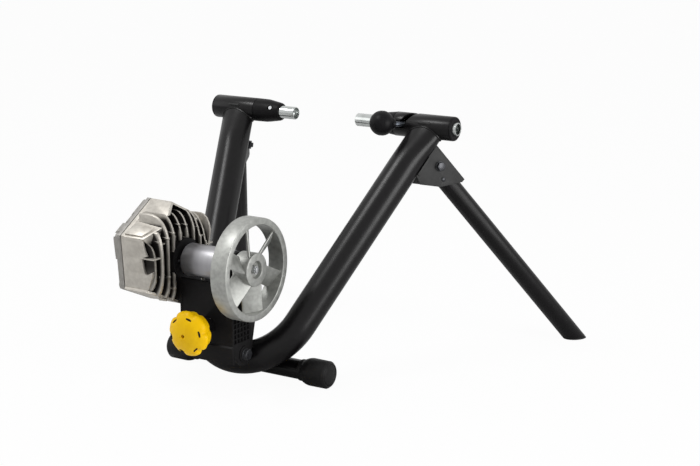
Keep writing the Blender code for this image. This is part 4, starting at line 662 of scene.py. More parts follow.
def axleTube(cup, end, mouth):
    outer, edge, bore, deep = head["axleRadius"], head["axleEdge"], head["axleBore"], head["cupDepth"]
    profile = [(cup, head["cupRadius"] + 0.0005), (cup + 0.0002, outer - edge * 0.4), (cup + edge, outer)]
    profile += roundedEdge(end, outer, edge, -1)
    profile += [(end, mouth + 0.0005), (end - 0.0005, mouth), (end - 0.0140, mouth), (end - 0.0145, bore)]
    profile += [(cup + deep, bore), (cup + deep, bore + 0.0005)]
    for step in range(7):
        turn = math.pi / 2 * step / 6
        radius = bore + 0.0005 + (head["cupRadius"] - bore - 0.0005) * math.sin(turn)
        profile.append((cup + (deep - 0.0004) * math.cos(turn), radius))
    return profile


def makeLever(base, ray):
    ball = base - toX * lever["back"] + ray * lever["reach"]
    elbow = base + ray * lever["elbow"]
    toward = (ball - elbow).normalized()
    path = [base + ray * lever["root"]]
    start, last = elbow - ray * lever["bend"], elbow + toward * lever["bend"]
    for step in range(13):
        t = step / 12
        path.append(start * (1 - t) ** 2 + elbow * (2 * t * (1 - t)) + last * t ** 2)
    path.append(ball - toward * lever["sink"])
    done(wire(path, lever["radius"], 40), "leverRod", "right_axle", "leverSteel")
    rings = []
    for step in range(1, lever["ballSteps"]):
        turn = math.pi * step / lever["ballSteps"]
        groove = lever["groove"] if step == lever["ballSteps"] // 2 else 0.0
        rings.append((-lever["ball"] * math.cos(turn), (lever["ball"] - groove) * math.sin(turn)))
    knob = turned(rings, ball, toward, 96, False)
    carve(knob, rod(ball, -toward, 0.004, 0.022, lever["radius"] + gap, 64))
    hole = lever["radius"] + 0.0004
    collar = [(-0.0185, hole), (-0.0212, hole), (-0.0212, 0.0068), (-0.0205, 0.0076), (-0.0176, 0.0086)]
    grow(knob, turned(collar, ball, toward, 64))
    done(knob, "leverBall", "right_axle", "ballPlastic")


def makeAxles():
    left = axleTube(head["leftCup"], head["leftCup"] + head["leftLength"], head["leftMouth"])
    done(turned(left, axle, -toX, 128), "leftAxle", "left_axle", "platedSteel")
    ray, base = backRay(lever["turn"]), axle + toX * lever["x"]
    right = turned(axleTube(head["rightCup"], head["rightEnd"], head["mouth"]), axle, toX, 128)
    carve(right, rod(base, ray, 0.0, 0.0122, lever["radius"] + gap, 64))
    done(right, "rightAxle", "right_axle", "platedSteel")
    makeLever(base, ray)


mainTube = makeFrameTube()
print("frame tube made")
makeWelds()
makeHeads()
makeAxles()
print("head tubes and axles made")

# Floor cross tube with its boots; endRing is back from a boot's end and in from its radius
cross = {"radius": 0.0150, "bore": 0.0130, "height": 0.0205, "end": 0.146, "boot": 0.0212,
         "bootStart": 0.0985, "bootEnd": 0.1500, "neck": 0.0166, "shoulderStart": 0.0062, "shoulder": 0.0140,
         "endRing": ((0.0042, 0.0002), (0.0036, 0.0006), (0.0012, 0.0026), (0.0006, 0.0034), (0.0006, 0.0042),
                     (0.0013, 0.0047), (0.0013, 0.0054), (0.0004, 0.0060), (0.0, 0.0068))}


def bootProfile():
    start, end, outer, neck = cross["bootStart"], cross["bootEnd"], cross["boot"], cross["neck"]
    fit = cross["radius"] + gap
    profile = [(cross["end"] + gap, 0.004), (cross["end"] + gap, fit), (start, fit), (start, neck - 0.0006),
               (start + 0.0006, neck), (start + 0.0050, neck), (start + 0.0056, neck - 0.0003)]
    for step in range(13):  # shoulder from the neck ring out to the body
        share = step / 12
        rise = (outer - neck) * math.sin(math.pi / 2 * share) ** 0.8
        profile.append((start + cross["shoulderStart"] + cross["shoulder"] * share, neck + rise))
    return profile + [(end - back, outer - drop) for back, drop in cross["endRing"]]


def makeCrossTube():
    lowest = axle + downFrame * bendDrop
    contact = armRadius + cross["radius"] + gap
    back = math.sqrt(contact ** 2 - (lowest.z - cross["height"]) ** 2)
    centre = Vector((0.0, lowest.y + back, cross["height"]))
    profile = [(-cross["end"], cross["radius"]), (cross["end"], cross["radius"])]
    profile += [(cross["end"], cross["bore"]), (-cross["end"], cross["bore"])]
    tube = turned(profile, centre, toX)
    carve(tube, applied(twin(mainTube), "DISPLACE", strength=gap, mid_level=0.0))
    done(tube, "crossTube", "frame", "powderCoat")
    for name, side in bothSides:
        boot = turned(bootProfile(), centre, toX * side, 96, False)
        softened(cutAway(boot, (0, 0, 0), (0, 0, -1)), 0.0004, 2, 50)
        done(boot, name + "Boot", "frame", "blackRubber")


makeCrossTube()
print("cross tube and boots made")

# Legs
leg = {"radius": 0.0153, "wall": 0.0020, "footX": 0.3438, "footY": 0.2107, "hinge": 0.0440, "armGap": 0.0024,
       "pad": 0.0030, "top": 0.0155, "bush": 0.0062}


def legFrame(side):  # hinge, the leg's run, the bolt's run and the fold across them
    reach = Vector((leg["footX"], leg["footY"], 0)) - Vector((layout["armSpread"], 0, axle.z))
    out = (reach - reach.dot(armRun) * armRun).normalized()
    offset = armRun * leg["hinge"] + out * (armRadius + leg["radius"] + leg["armGap"])
    down = (reach - offset).normalized()
    bolt = armRun.cross(out)
    hinge = axle + toX * layout["armSpread"] + offset
    return tuple(mirroredX(run, side) for run in (hinge, down, bolt, down.cross(bolt)))


def makeLeg(name, side):
    hinge, down, bolt, fold = legFrame(side)
    fold = fold.normalized()
    length = (leg["pad"] + gap - hinge.z) / down.z
    radius, bore = leg["radius"], leg["radius"] - leg["wall"]
    profile = [(-0.001, radius), (length + 0.03, radius), (length + 0.03, bore), (-0.001, bore)]
    tube = turned(profile, hinge, down, roll=fold)
    for corner in tube.data.vertices:  # the top is rounded about the bolt
        if (corner.co - hinge).dot(down) < 0:
            offset = (corner.co - hinge).dot(fold)
            corner.co += down * (0.001 - math.sqrt(max(leg["top"] ** 2 - offset ** 2, 0)))
    cutAway(tube, (0, 0, leg["pad"] + gap), (0, 0, -1))
    carve(tube, rod(hinge, bolt, -0.02, 0.02, leg["bush"] + gap, 64))
    done(softened(tube, 0.0004, 2, 50), name + "LegTube", name + "_leg", "legCoat")
    foot = rod(hinge, down, length - 0.04, length + 0.04, radius - 0.0001, 96)
    cutAway(foot, (0, 0, 0), (0, 0, -1))
    cutAway(foot, (0, 0, leg["pad"]), (0, 0, 1))
    done(softened(foot, 0.0006, 3, 50), name + "LegFoot", name + "_leg", "blackRubber")


for name, side in bothSides:
    makeLeg(name, side)
print("legs made")

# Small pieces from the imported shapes: body, finish, width and steps of the soft edge, names
smallPieces = (
    ("frame", "paintedSheenCoat", 0.0007, 3, "leftLegBracket rightLegBracket"),
    ("left_leg", "bushBronze", 0.0004, 2, "leftLegBushing"),
    ("right_leg", "bushBronze", 0.0004, 2, "rightLegBushing"),
    ("frame", "blackOxide", 0.0004, 2, "leftLegBolt rightLegBolt leftLegNut rightLegNut"),
    ("frame", "blackOxide", 0.0003, 2, "leftLegRivet rightLegRivet"),
    ("frame", "powderCoat", 0.0005, 2, "pivotBoss"),
    ("frame", "blackOxide", 0.0005, 3, "pivotBolt"),
    ("frame", "blackOxide", 0.0005, 2, "pivotNut"),
    ("resistance_unit", "blackNylon", 0.0004, 2, "leftPivotBushing rightPivotBushing"),
    ("frame", "powderCoat", 0.0006, 3, "clutchBracket"),
    ("frame", "brightSteel", 0.0004, 2, "clutchTrunnion"),
    ("rotor", "brightSteel", 0.0004, 2, "rollerShaft"),
    ("resistance_unit", "brightSteel", 0.0004, 2, "leftBearing rightBearing"),
    ("resistance_unit", "blackRubber", 0.0003, 2, "shaftSeal"),
    ("resistance_unit", "blackRubber", 0.0, 2, "unitGasket"),
    ("rotor", "coverMetal", 0.0003, 2, "impeller"),
    ("rotor", "brightSteel", 0.0004, 2, "flywheelNut"),
    ("resistance_unit", "brightSteel", 0.0002, 2, "mountScrew1 mountScrew2 mountScrew3"),
    ("resistance_unit", "brightSteel", 0.0003, 2, "coverScrew1 coverScrew2 coverScrew3 coverScrew4"))
otherNodes, otherSlots = {"rollerShaft": "shaft"}, {"flywheelNut": "dark_steel"}
for body, coat, width, segments, names in smallPieces:
    for name in names.split():
        node = otherNodes.get(name, nodeOf(name))
        done(fineCopy(node, width, segments), name, body, coat, node)
print("small pieces made")

# Moulded yoke that carries the roller unit on the frame
yoke = {"left": 0.0520, "right": 0.0450, "wall": 0.0040, "rear": 0.3330, "rearWall": 0.0048, "top": 0.1660,
        "shoulder": 0.1580, "bottom": 0.0480, "sideBack": 0.2770, "sideHeight": 0.1000, "lug": 0.0180,
        "lugTop": 0.012, "ring": 0.0130, "ringHeight": 0.0020, "skirt": 0.0740, "lip": 0.0030,
        "leftUpright": 0.0310, "rightUpright": 0.0230, "leftOut": 0.0582, "leftIn": 0.0480, "rightIn": 0.0385,
        "rightOut": 0.0488, "foot": 0.1300, "slotHalf": 0.0095, "rows": 5, "columns": 5, "pitch": 0.0078,
        "pocket": 0.0060, "depth": 0.0030, "pocketBack": 0.3272, "pocketBase": 0.0790, "boltHole": 0.0053,
        "shaftHole": 0.0133, "screwRing": 0.0192, "screwHead": 0.0030, "screwHole": 0.0019, "sink": 0.0026}
clutch = {"back": 0.3720, "height": 0.0990, "droop": math.radians(4.0), "screw": 0.0040, "knob": 0.0340,
          "depth": 0.0310, "tip": 0.0225, "hole": 0.0030, "lobes": 6, "lobeDepth": 0.0040, "lobeSharp": 6,
          "lobePhase": math.radians(-12.0), "cup": 0.0210, "cupDepth": 0.0180, "slotRadius": 0.0262,
          "slotLength": 0.0092, "slotWidth": 0.0020, "slotStart": 0.0110, "slotEnd": 0.0200, "seat": 0.0120,
          "collar": 0.0160, "gap": 0.0005, "trunnion": 0.2520, "pitch": 0.00125, "threadStart": 0.030}
knobPlace = Vector((0.0, axle.y - clutch["back"], clutch["height"]))
clutchOut = Vector((0.0, -math.cos(clutch["droop"]), -math.sin(clutch["droop"])))
clutchUp = toX.cross(clutchOut)


def clutchPoint(back):
    return knobPlace - clutchOut * ((clutch["back"] - back) / math.cos(clutch["droop"]))


def cheek(name, start, end, foot=None, off=0.0):  # a side of the yoke, from its lug or from a foot up
    rear, front, side = axle.y - yoke["rear"] - off, axle.y - yoke["sideBack"] + off, yoke["sideHeight"]
    if foot is None:
        points = [(rear, yoke["bottom"] + yoke["lugTop"])]
        points += arc((pivot.y, pivot.z), yoke["lug"], 205, 361, 36)
    else:
        points = [(rear, foot), (front if foot < side else front - 0.0045, foot)]
    if foot is None or foot < side:
        points += [(front, side), (front, side + 0.012)]
    points += arc((unit.y, unit.z), yoke[name + "Upright"] + off, -25, 235, 64) + [(rear, yoke["shoulder"])]
    return plate(points, toY, toZ, start, end)


def makeYoke():
    rear, left, right, low = axle.y - yoke["rear"], yoke["left"], yoke["right"], yoke["bottom"]
    inner = rear + yoke["rearWall"]
    body = cheek("left", -left, yoke["wall"] - left)
    adds = [cheek("right", right - yoke["wall"], right)]
    adds.append(block((-left + 0.001, rear, low), (right - 0.001, inner, yoke["top"])))
    lip = [(rear - yoke["lip"] * 0.5, low - 0.002), (rear + 0.001, low - 0.002),
           (rear + 0.001, yoke["skirt"]), (rear - yoke["lip"], yoke["skirt"] - 0.003)]
    adds.append(plate(lip, toY, toZ, -left - 0.001, right + 0.001))
    adds.append(cheek("left", -yoke["leftOut"], -yoke["leftIn"], yoke["foot"]))
    adds.append(cheek("right", yoke["rightIn"], yoke["rightOut"], yoke["foot"]))
    adds.append(rod(pivot, toX, right - 0.001, right + yoke["ringHeight"], yoke["ring"]))
    adds.append(rod(pivot, -toX, left - 0.001, left + yoke["ringHeight"], yoke["ring"]))
    for add in adds:
        grow(body, add)
    carve(body, rod(pivot, toX, -0.08, 0.08, yoke["boltHole"], 48))
    carve(body, rod(unit, toX, -0.08, 0.08, yoke["shaftHole"], 64))
    slot, half, tall = clutchPoint(yoke["rear"]), clutch["screw"] + 0.0008, yoke["slotHalf"]
    carve(body, block((-half, rear - 0.01, slot.z - tall), (half, inner + 0.01, slot.z + tall)))
    pockets, half = [], yoke["pocket"] / 2
    for row in range(yoke["rows"]):
        for column in range(yoke["columns"]):
            y = axle.y - yoke["pocketBack"] + yoke["pitch"] * column
            z = yoke["pocketBase"] + yoke["pitch"] * row
            pockets.append(block((right - yoke["depth"], y - half, z - half),
                                 (right + 0.01, y + half, z + half)))
    carve(body, joined(pockets))
    start, floor = yoke["leftIn"] - 0.001, yoke["leftIn"] + yoke["sink"]
    sink = [(start, yoke["screwHead"]), (floor, yoke["screwHead"]), (floor, yoke["screwHole"]),
            (yoke["leftOut"] + 0.001, yoke["screwHole"])]
    for turn in (180, 300, 60):
        ray = math.cos(math.radians(turn)) * toY + math.sin(math.radians(turn)) * toZ
        carve(body, turned(sink, unit + yoke["screwRing"] * ray, -toX, 32, False))
    done(softened(body, 0.0006, 2, 40), "yoke", "resistance_unit", "yokeNylon")


makeYoke()
print("yoke made")

# Finned housing of the fluid unit: a core, two outer plates, eight fins from one dome, and panels by the seam
finFoot = [(-0.0562, -0.0160), (-0.0572, -0.0250), (-0.0600, -0.0320), (-0.0640, -0.0380), (-0.1000, -0.0400)]
finCrest = [(-0.0400, 0.0300), (-0.0490, 0.0400), (-0.0499, 0.0450), (-0.0515, 0.0505), (-0.0538, 0.0560),
            (-0.0566, 0.0612), (-0.0600, 0.0655), (-0.0645, 0.0690), (-0.0690, 0.0705), (-0.1150, 0.0705)]
finRims = {
    "outer": {0: [(-0.1000, 0.0360), (-0.0735, 0.0360), (-0.0714, 0.0328), (-0.0634, 0.0274),
                  (-0.0600, 0.0220), (-0.0576, 0.0145), (-0.0566, 0.0050), (-0.0562, -0.0050)] + finFoot,
              9: [(-0.1000, 0.0560), (-0.0761, 0.0572), (-0.0680, 0.0570), (-0.0620, 0.0553),
                  (-0.0564, 0.0505), (-0.0520, 0.0420), (-0.0498, 0.0326), (-0.0512, 0.0220),
                  (-0.0532, 0.0127), (-0.0550, 0.0)] + finFoot},
    "crest": {3: finCrest, 4: finCrest, 5: finCrest, 6: finCrest,
              7: [(-0.0400, 0.0150), (-0.0515, 0.0300), (-0.0548, 0.0420), (-0.0607, 0.0552),
                  (-0.0650, 0.0600), (-0.0700, 0.0637), (-0.0760, 0.0660), (-0.1150, 0.0665)],
              8: [(-0.0400, 0.0100), (-0.0519, 0.0182), (-0.0545, 0.0330), (-0.0582, 0.0420),
                  (-0.0630, 0.0500), (-0.0680, 0.0555), (-0.0740, 0.0590), (-0.1150, 0.0600)]},
    "pads": ((1, 0.0338, 0.0573), (2, 0.0378, 0.0492), (3, 0.0434, 0.0496), (4, 0.0530, 0.0525),
             (5, 0.0500, 0.0514), (7, 0.0400, 0.0545), (1, -0.0180, 0.0562), (2, -0.0200, 0.0490),
             (3, -0.0400, 0.0496), (2, -0.0560, 0.0570)),  # fin, height and depth of each ejector pad
    "ribs": ((1, 2, 0.0300), (3, 4, 0.0020), (2, 3, -0.0400), (4, 5, -0.0240), (7, 8, 0.0260))}
panels = {
    "corner": ((-0.0718, -0.0713, 0.0400), (-0.0600, -0.0415, 0.0530), (-0.0800, -0.0410, 0.0545)),
    "raised": ((-0.1080, -0.0690, 0.0437), (-0.0760, -0.0686, 0.0434), (-0.0690, -0.0520, 0.0510),
               (-0.0850, -0.0500, 0.0536), (-0.1040, -0.0490, 0.0556)),
    "side": ((-0.0735, 0.0395), (-0.0722, 0.0300), (-0.0700, 0.0210), (-0.0667, 0.0145), (-0.0766, 0.0111),
             (-0.0755, 0.0000), (-0.0744, -0.0096), (-0.0715, -0.0138), (-0.0680, -0.0140),
             (-0.0580, -0.0085), (-0.0590, -0.0150), (-0.0630, -0.0247), (-0.0668, -0.0335),
             (-0.0712, -0.0415)),
    "bands": ((0.0120, 0.0345), (-0.0100, 0.0090), (-0.0300, -0.0130)), "bandLift": 0.0006,
    "lip": ((-0.0040, -0.0712), (0.0060, -0.0660), (0.0200, -0.0622), (0.0400, -0.0602), (0.0680, -0.0594)),
    "lipEnd": 0.0700, "sideRib": (0.0700, 0.0530, 0.0098, 0.0116)}
face = casing["seam"] - casing["gasket"] / 2 - gap


def casingRing(x, scale, roundness=0.0, roundRadius=0.0):
    corners, ring = casingCorners(), []
    for (across, up), (nextAcross, nextUp) in zip(corners, corners[1:] + corners[:1]):
        for step in range(casing["steps"]):
            share = step / casing["steps"]
            point = Vector((0.0, across + (nextAcross - across) * share, up + (nextUp - up) * share))
            radius = point.length * scale * (1 - roundness) + roundRadius * roundness
            ring.append(unit - toX * x + point.normalized() * radius)
    return ring


def makeDome():
    edge, reach, high, root = casing["edge"], casing["reach"], casing["dome"], casing["root"]
    profile = [(reach, high - edge)]
    for step in range(1, 25):
        turn = math.pi / 2 * step / 24
        profile.append((reach + edge * (1 - math.cos(turn)), high - edge * (1 - math.sin(turn))))
    profile += [(root - 0.002, high), (root - 0.0006, high - 0.0006), (root, high - 0.002)]
    dome = turned(profile, unit, -toX, 144, False)
    for (across, up), (nextAcross, nextUp) in list(zip(casingCorners(), casingCorners()[1:]))[1:4]:
        outward = Vector((0.0, nextAcross - across, nextUp - up)).normalized().cross(toX)
        outward = outward if outward.dot(Vector((0, across + nextAcross, up + nextUp))) > 0 else -outward
        cutAway(dome, unit + Vector((0.0, across, up)) - outward * casing["inset"], outward)
    return dome


def makeFins():
    dome, fins, half = makeDome(), [], casing["thick"] / 2
    for number, offset in enumerate(casing["fins"]):
        if number in finRims["outer"]:  # the outer fins stand just behind the side panels
            fins.append(plate(finRims["outer"][number], toX, toZ, -offset - half, -offset + half, unit))
            continue
        fin = twin(dome)
        cutAway(fin, unit + toY * (offset + half), toY)
        cutAway(fin, unit + toY * (offset - half), -toY)
        if number in finRims["crest"]:
            limit = [(-0.0400, -0.0900)] + finRims["crest"][number] + [(-0.1150, -0.0900)]
            carve(fin, plate(limit, toX, toZ, -offset - 2 * half, -offset + 2 * half, unit), "INTERSECT")
        if number == casing["roofFin"]:
            for side in (-1, 1):
                upper = casing["upper"]
                outward = Vector((0.0, side * (casing["top"] - upper[1]), upper[0])).normalized()
                cutAway(fin, unit + toZ * casing["top"] - outward * casing["roofInset"], outward)
        fins.append(fin)
    bpy.data.objects.remove(dome)
    return fins


def ribAcross(first, second, back, front, low, high):
    ends = sorted((first, second))
    return block(unit + Vector((back, ends[0], low)), unit + Vector((front, ends[1], high)))


def makeRimDetails():  # small ejector pads on the rims and low ribs between fins
    details = []
    for number, up, back in finRims["pads"]:
        at = unit + toY * casing["fins"][number] + toZ * up
        pad = [(back - 0.0010, 0.0015), (back - 0.0005, 0.0021), (back + 0.012, 0.0026)]
        details.append(turned(pad, at, -toX, 20, False))
    for first, second, up in finRims["ribs"]:
        first, second = casing["fins"][first], casing["fins"][second]
        details.append(ribAcross(first, second, -0.0900, -0.0550, up - 0.0009, up + 0.0009))
    return details


def makeRoof():  # a hollow cap over the top corner
    top = [(-face + 0.001, 0.0, casing["top"] - 0.0003), (-0.0750, 0.0, casing["top"] - 0.0010)]
    for side in (-1, 1):
        top += [(-face + 0.001, side * 0.0262, 0.0686), (-0.0625, side * 0.0252, 0.0680),
                (-face + 0.001, side * 0.0225, 0.0540), (-0.0665, side * 0.0215, 0.0540)]
    hollow = [(x, side * across, up) for x in (-0.1000, -0.0400) for side in (-1, 1)
              for across, up in ((0.0, 0.0800), (0.0228, 0.0655), (0.0228, 0.0500))]
    return carve(hull(top), hull(hollow))


def panelHull(corners, side, depth):  # closed by the same corners moved in towards the core
    corners = corners + [(x, across + depth, up - depth) for x, across, up in corners]
    return hull([(x, -across * side, up) for x, across, up in corners])


def makeCornerPanels(side):
    corner = [(-face + 0.001, -0.0716, 0.0403), *panels["corner"], (-face + 0.001, -0.0385, 0.0600)]
    raised = [(x, across - 0.0004, up + 0.0009) for x, across, up in panels["raised"]]
    return panelHull(corner, side, 0.012), panelHull(raised, side, 0.006)


def makeSidePanel(side):
    (upperAcross, upperUp), (lowerAcross, lowerUp), depth = casing["upper"], casing["lower"], casing["skin"]
    curve = [(-face + 0.001, upperUp - 0.001), *panels["side"], (-face + 0.001, lowerUp + 0.001)]
    start, end = side * (lowerAcross - depth), side * (upperAcross + 0.001)
    slab = plate([(z, x) for x, z in curve], toZ, toX, start, end, unit)
    near, far = lowerAcross + 0.0004, upperAcross + 0.0004
    for low, high in (((near, far), (0.09, 0.09)), ((near - depth, far - depth), (0.04, 0.04))):
        wedge = [(side * low[0], lowerUp - 0.002), (side * low[1], upperUp), (side * high[1], upperUp),
                 (side * high[0], lowerUp - 0.002)]
        carve(slab, plate(wedge, toY, toZ, -0.12, -0.04, unit))
    for low, high in panels["bands"]:  # shallow steps moulded into the panel
        band = hull([(x, side * (lowerAcross + (up - lowerUp) / 12 + along), up)
                     for x in (-0.1060, -0.0800) for up in (low, high) for along in (0.0000, -0.0030)])
        band.location.y = side * panels["bandLift"]
        grow(slab, applyPlace(band))
    return slab


def makeBottomLip(side):
    across, up = casing["lower"]
    down = Vector((0.0, across, casing["bottom"] - up)).normalized()
    start = unit + Vector((0.0, side * across, up))
    run = Vector((0.0, -side * down.y, down.z))
    inward = toX.cross(run) if toX.cross(run).z > 0 else run.cross(toX)
    lip = [(panels["lip"][0][0], -face + 0.001), *panels["lip"], (panels["lipEnd"], -face + 0.001)]
    corners = [start + run * along + toX * x + inward * depth
               for along, x in lip for depth in (0.0002, 0.0040)]
    return hull(corners, Vector())


def makeHousing():
    rings = [casingRing(face, 1.0)]
    for x, scale in casing["core"]:
        rings.append(casingRing(x, scale, (0.1070 - x) / 0.0600, casing["hubRadius"] + 0.008))
    rings.append(casingRing(casing["hub"] - 0.001, 1.0, 1.0, casing["hubRadius"]))
    body = loft(rings)
    for piece in makeFins() + makeRimDetails():
        grow(body, piece)
    grow(body, makeRoof())
    first, second, low, high = panels["sideRib"]
    for side in (-1, 1):  # a low rib from the side panel's notch to the second fin
        grow(body, ribAcross(side * first, side * second, -0.0800, -0.0532, low, high))
    for side in (-1, 1):
        for piece in (*makeCornerPanels(side), makeSidePanel(side), makeBottomLip(side)):
            grow(body, piece)
    carve(body, rod(unit, -toX, casing["chamberFloor"], 0.12, casing["chamber"], 96))
    carve(body, rod(unit, -toX, 0.04, casing["chamberFloor"] + 0.001, 0.0066, 48))
    carve(body, rod(unit, -toX, 0.04, 0.0665, 0.0110, 48))
    carve(body, cheek("left", -casing["hub"], 0.0, yoke["bottom"] + yoke["lugTop"], 0.0015))
    done(softened(body, 0.0007, 2, 40), "unitHousing", "resistance_unit", "castMetal")


makeHousing()
print("housing made")

# Cover that closes the housing: a deep lower half, raised pads along the roof and the sides, and six bosses
cover = {"bossRadius": 0.0080, "bossHeight": 0.0120, "bossScale": 0.86, "screw": 0.0021, "recessWall": 0.0014,
         "steps": ((0, 1), (0.0060, 1), (0.0095, 0.91), (0.0140, 0.66)),
         "bulge": ((0.0020, 0.998), (0.0100, 0.990), (0.0130, 0.945), (0.0150, 0.86)),
         "lower": ((-0.0722, 0.0390), (-0.0650, -0.0430), (0.0, -0.0720), (0.0650, -0.0430),
                   (0.0722, 0.0390)),
         "roofPads": ((0.0050, 0.0290, 0.0135), (0.0345, 0.0450, 0.0125), (0.0490, 0.0640, 0.0165)),
         "sidePad": ((0.0020, 0.0716, 0.0385), (0.0130, 0.0714, 0.0375), (0.0165, 0.0680, 0.0330),
                     (0.0020, 0.0682, 0.0020), (0.0130, 0.0680, 0.0030), (0.0165, 0.0640, 0.0080),
                     (0.0020, 0.0400, 0.0385), (0.0020, 0.0400, 0.0020))}


def makeCover():
    base = casing["seam"] + casing["gasket"] / 2 + gap
    body = loft([casingRing(base + along, scale) for along, scale in cover["steps"]])
    grow(body, hull([(-base - along, across * scale, up * scale) for along, scale in cover["bulge"]
                     for across, up in cover["lower"]]))
    slope = (casing["top"] - casing["upper"][1]) / casing["upper"][0]
    for low, high, height in cover["roofPads"]:
        section = ((0.0020, 0.0004), (height - 0.0030, 0.0010), (height, 0.0045), (height, 0.0150),
                   (0.0020, 0.0240))
        for side in (-1, 1):
            grow(body, hull([(-base - along, side * across, casing["top"] - slope * across - drop)
                             for along, drop in section for across in (low, high)]))
    for side in (-1, 1):
        grow(body, hull([(-base - along, side * across, up) for along, across, up in cover["sidePad"]]))
    top, scale = base + cover["bossHeight"], cover["bossScale"]
    points = [unit + toY * across * scale + toZ * up * scale for across, up in casingCorners()]
    for at in points:
        grow(body, rod(at, -toX, base + 0.002, top, cover["bossRadius"], 48))
    for at in points[1:3] + points[4:6]:
        carve(body, rod(at, -toX, 0.10, 0.15, cover["screw"], 24))
        carve(body, rod(at, -toX, top - 0.0002, 0.15, cover["bossRadius"] - cover["recessWall"], 48))
    done(softened(body, 0.0010, 3, 30), "unitCover", "resistance_unit", "coverMetal")


makeCover()
print("cover made")

# Roller and flywheel
roller = {"radius": 0.0248, "left": 0.0410, "right": 0.0350, "edge": 0.0010, "stub": 0.0090, "bore": 0.0063,
          "bearing": 0.0043, "leftSeat": 0.0531, "rightSeat": 0.04365}
wheel = {"left": 0.0540, "right": 0.0820, "radius": 0.0767, "rim": 0.0105, "edge": 0.0018, "hub": 0.0250,
         "inset": 0.0010, "recess": 0.0130, "recessDepth": 0.0070, "blades": 6, "blade": 0.0040,
         "stub": 0.04765, "rootTurn": math.radians(50.0), "tipTurn": math.radians(57.0), "chord": 0.0320,
         "phase": math.radians(5.0), "sink": 0.0040, "steps": 12,
         "section": ((-0.5, 0.0), (-0.48, -0.30), (-0.40, -0.5), (0.40, -0.5), (0.48, -0.30), (0.5, 0.0),
                     (0.48, 0.30), (0.40, 0.5), (-0.40, 0.5), (-0.48, 0.30))}


def makeRoller():
    stub, bore = roller["stub"], roller["bore"]
    leftEnd, rightEnd = roller["bearing"] - roller["leftSeat"], roller["rightSeat"] - roller["bearing"]
    profile = [(leftEnd, bore), (leftEnd, stub), (-roller["left"], stub)]
    profile += roundedEdge(-roller["left"], roller["radius"], roller["edge"], 1)
    profile += roundedEdge(roller["right"], roller["radius"], roller["edge"], -1)
    profile += [(roller["right"], stub), (rightEnd, stub), (rightEnd, bore)]
    done(turned(profile, unit, toX, 160), "roller", "rotor", "rollerSteel")


def makeBlade(number):
    turn = wheel["phase"] + math.tau * number / wheel["blades"]
    ray = math.cos(turn) * toZ - math.sin(turn) * toY
    around = toX.cross(ray)
    middle = (wheel["left"] + wheel["right"]) / 2
    start, end = wheel["hub"] - wheel["sink"], wheel["radius"] - wheel["rim"] + wheel["sink"]
    rings = []
    for step in range(wheel["steps"] + 1):
        share = step / wheel["steps"]
        angle = wheel["rootTurn"] + (wheel["tipTurn"] - wheel["rootTurn"]) * share
        chord = math.cos(angle) * toX + math.sin(angle) * around
        thick = -math.sin(angle) * toX + math.cos(angle) * around
        centre = unit + toX * middle + ray * (start + (end - start) * share)
        rings.append([centre + chord * (wheel["chord"] * a) + thick * (wheel["blade"] * b)
                      for a, b in wheel["section"]])
    return loft(rings)


def makeFlywheel():
    back, right, hub, recess = wheel["left"], wheel["right"], wheel["hub"], wheel["recess"]
    front = right - wheel["inset"]
    floor, stub = front - wheel["recessDepth"], wheel["stub"] + gap
    profile = [(stub, roller["stub"]), (back, roller["stub"]), (back, hub - 0.001), (back + 0.001, hub),
               (front - 0.0014, hub), (front - 0.0004, hub - 0.0004), (front, hub - 0.0014),
               (front, recess + 0.0008), (front - 0.0008, recess), (floor + 0.001, recess - 0.001),
               (floor, recess - 0.002), (floor, roller["bore"]), (stub, roller["bore"])]
    body = turned(profile, unit, toX, 128)
    grow(body, joined([makeBlade(number) for number in range(wheel["blades"])]))
    inner, edge, outer = wheel["radius"] - wheel["rim"], wheel["edge"], wheel["radius"]
    rim = roundedEdge(back, outer, edge, 1) + roundedEdge(right, outer, edge, -1)
    rim += [(right, inner + 0.001), (right - 0.001, inner), (back + 0.001, inner), (back, inner + 0.001)]
    grow(body, turned(rim, unit, toX, 192))
    done(body, "flywheel", "rotor", "flywheelMetal")


makeRoller()
makeFlywheel()
print("roller and flywheel made")

# Clutch: seat, screw, knob and spring
spring = {"radius": 0.0105, "wire": 0.0011, "turns": 8, "length": 0.055, "points": 28}
screwHole = clutch["screw"] + gap
knobTip = knobPlace + clutchOut * clutch["tip"]


def makeSeat():
    start, low = clutchPoint(yoke["rear"]), clutch["gap"] - 0.002
    seat, collar = clutch["seat"], clutch["collar"]
    length = (knobPlace - start).length + clutch["tip"] - clutch["cupDepth"] + 0.004
    profile = [(low, seat), (length * 0.45, seat), (length * 0.5, collar), (length - 0.001, collar),
               (length, collar - 0.001), (length, screwHole), (low, screwHole)]
    piece = turned(profile, start, clutchOut)
    reach = seat * 1.6
    rocker = rod(start + clutchOut * (clutch["gap"] + reach), toX, -0.03, 0.03, reach, 96)
    wall = block((-0.02, start.y - 0.009, start.z - 0.02), (0.02, start.y + 0.01, start.z + 0.02))
    done(carve(piece, carve(wall, rocker)), "clutchSeat", "clutch_carriage", "blackNylon")


def makeScrew():
    radius, pitch, first = clutch["screw"], clutch["pitch"], clutch["threadStart"]
    reach = (knobTip - clutchPoint(clutch["trunnion"])).length + 0.007 + 0.004
    thread = [(0.0055, radius - 0.0005), (0.0060, radius)]
    for number in range(int((reach - first - 0.004) / pitch)):
        at = first + pitch * number
        thread += [(at, radius), (at + 0.0006, radius - 0.0005)]
    thread += [(reach - 0.0008, radius), (reach, radius - 0.0008)]
    done(turned(thread, knobTip, -clutchOut, 48, False), "clutchScrew", "clutch_knob", "brightSteel")


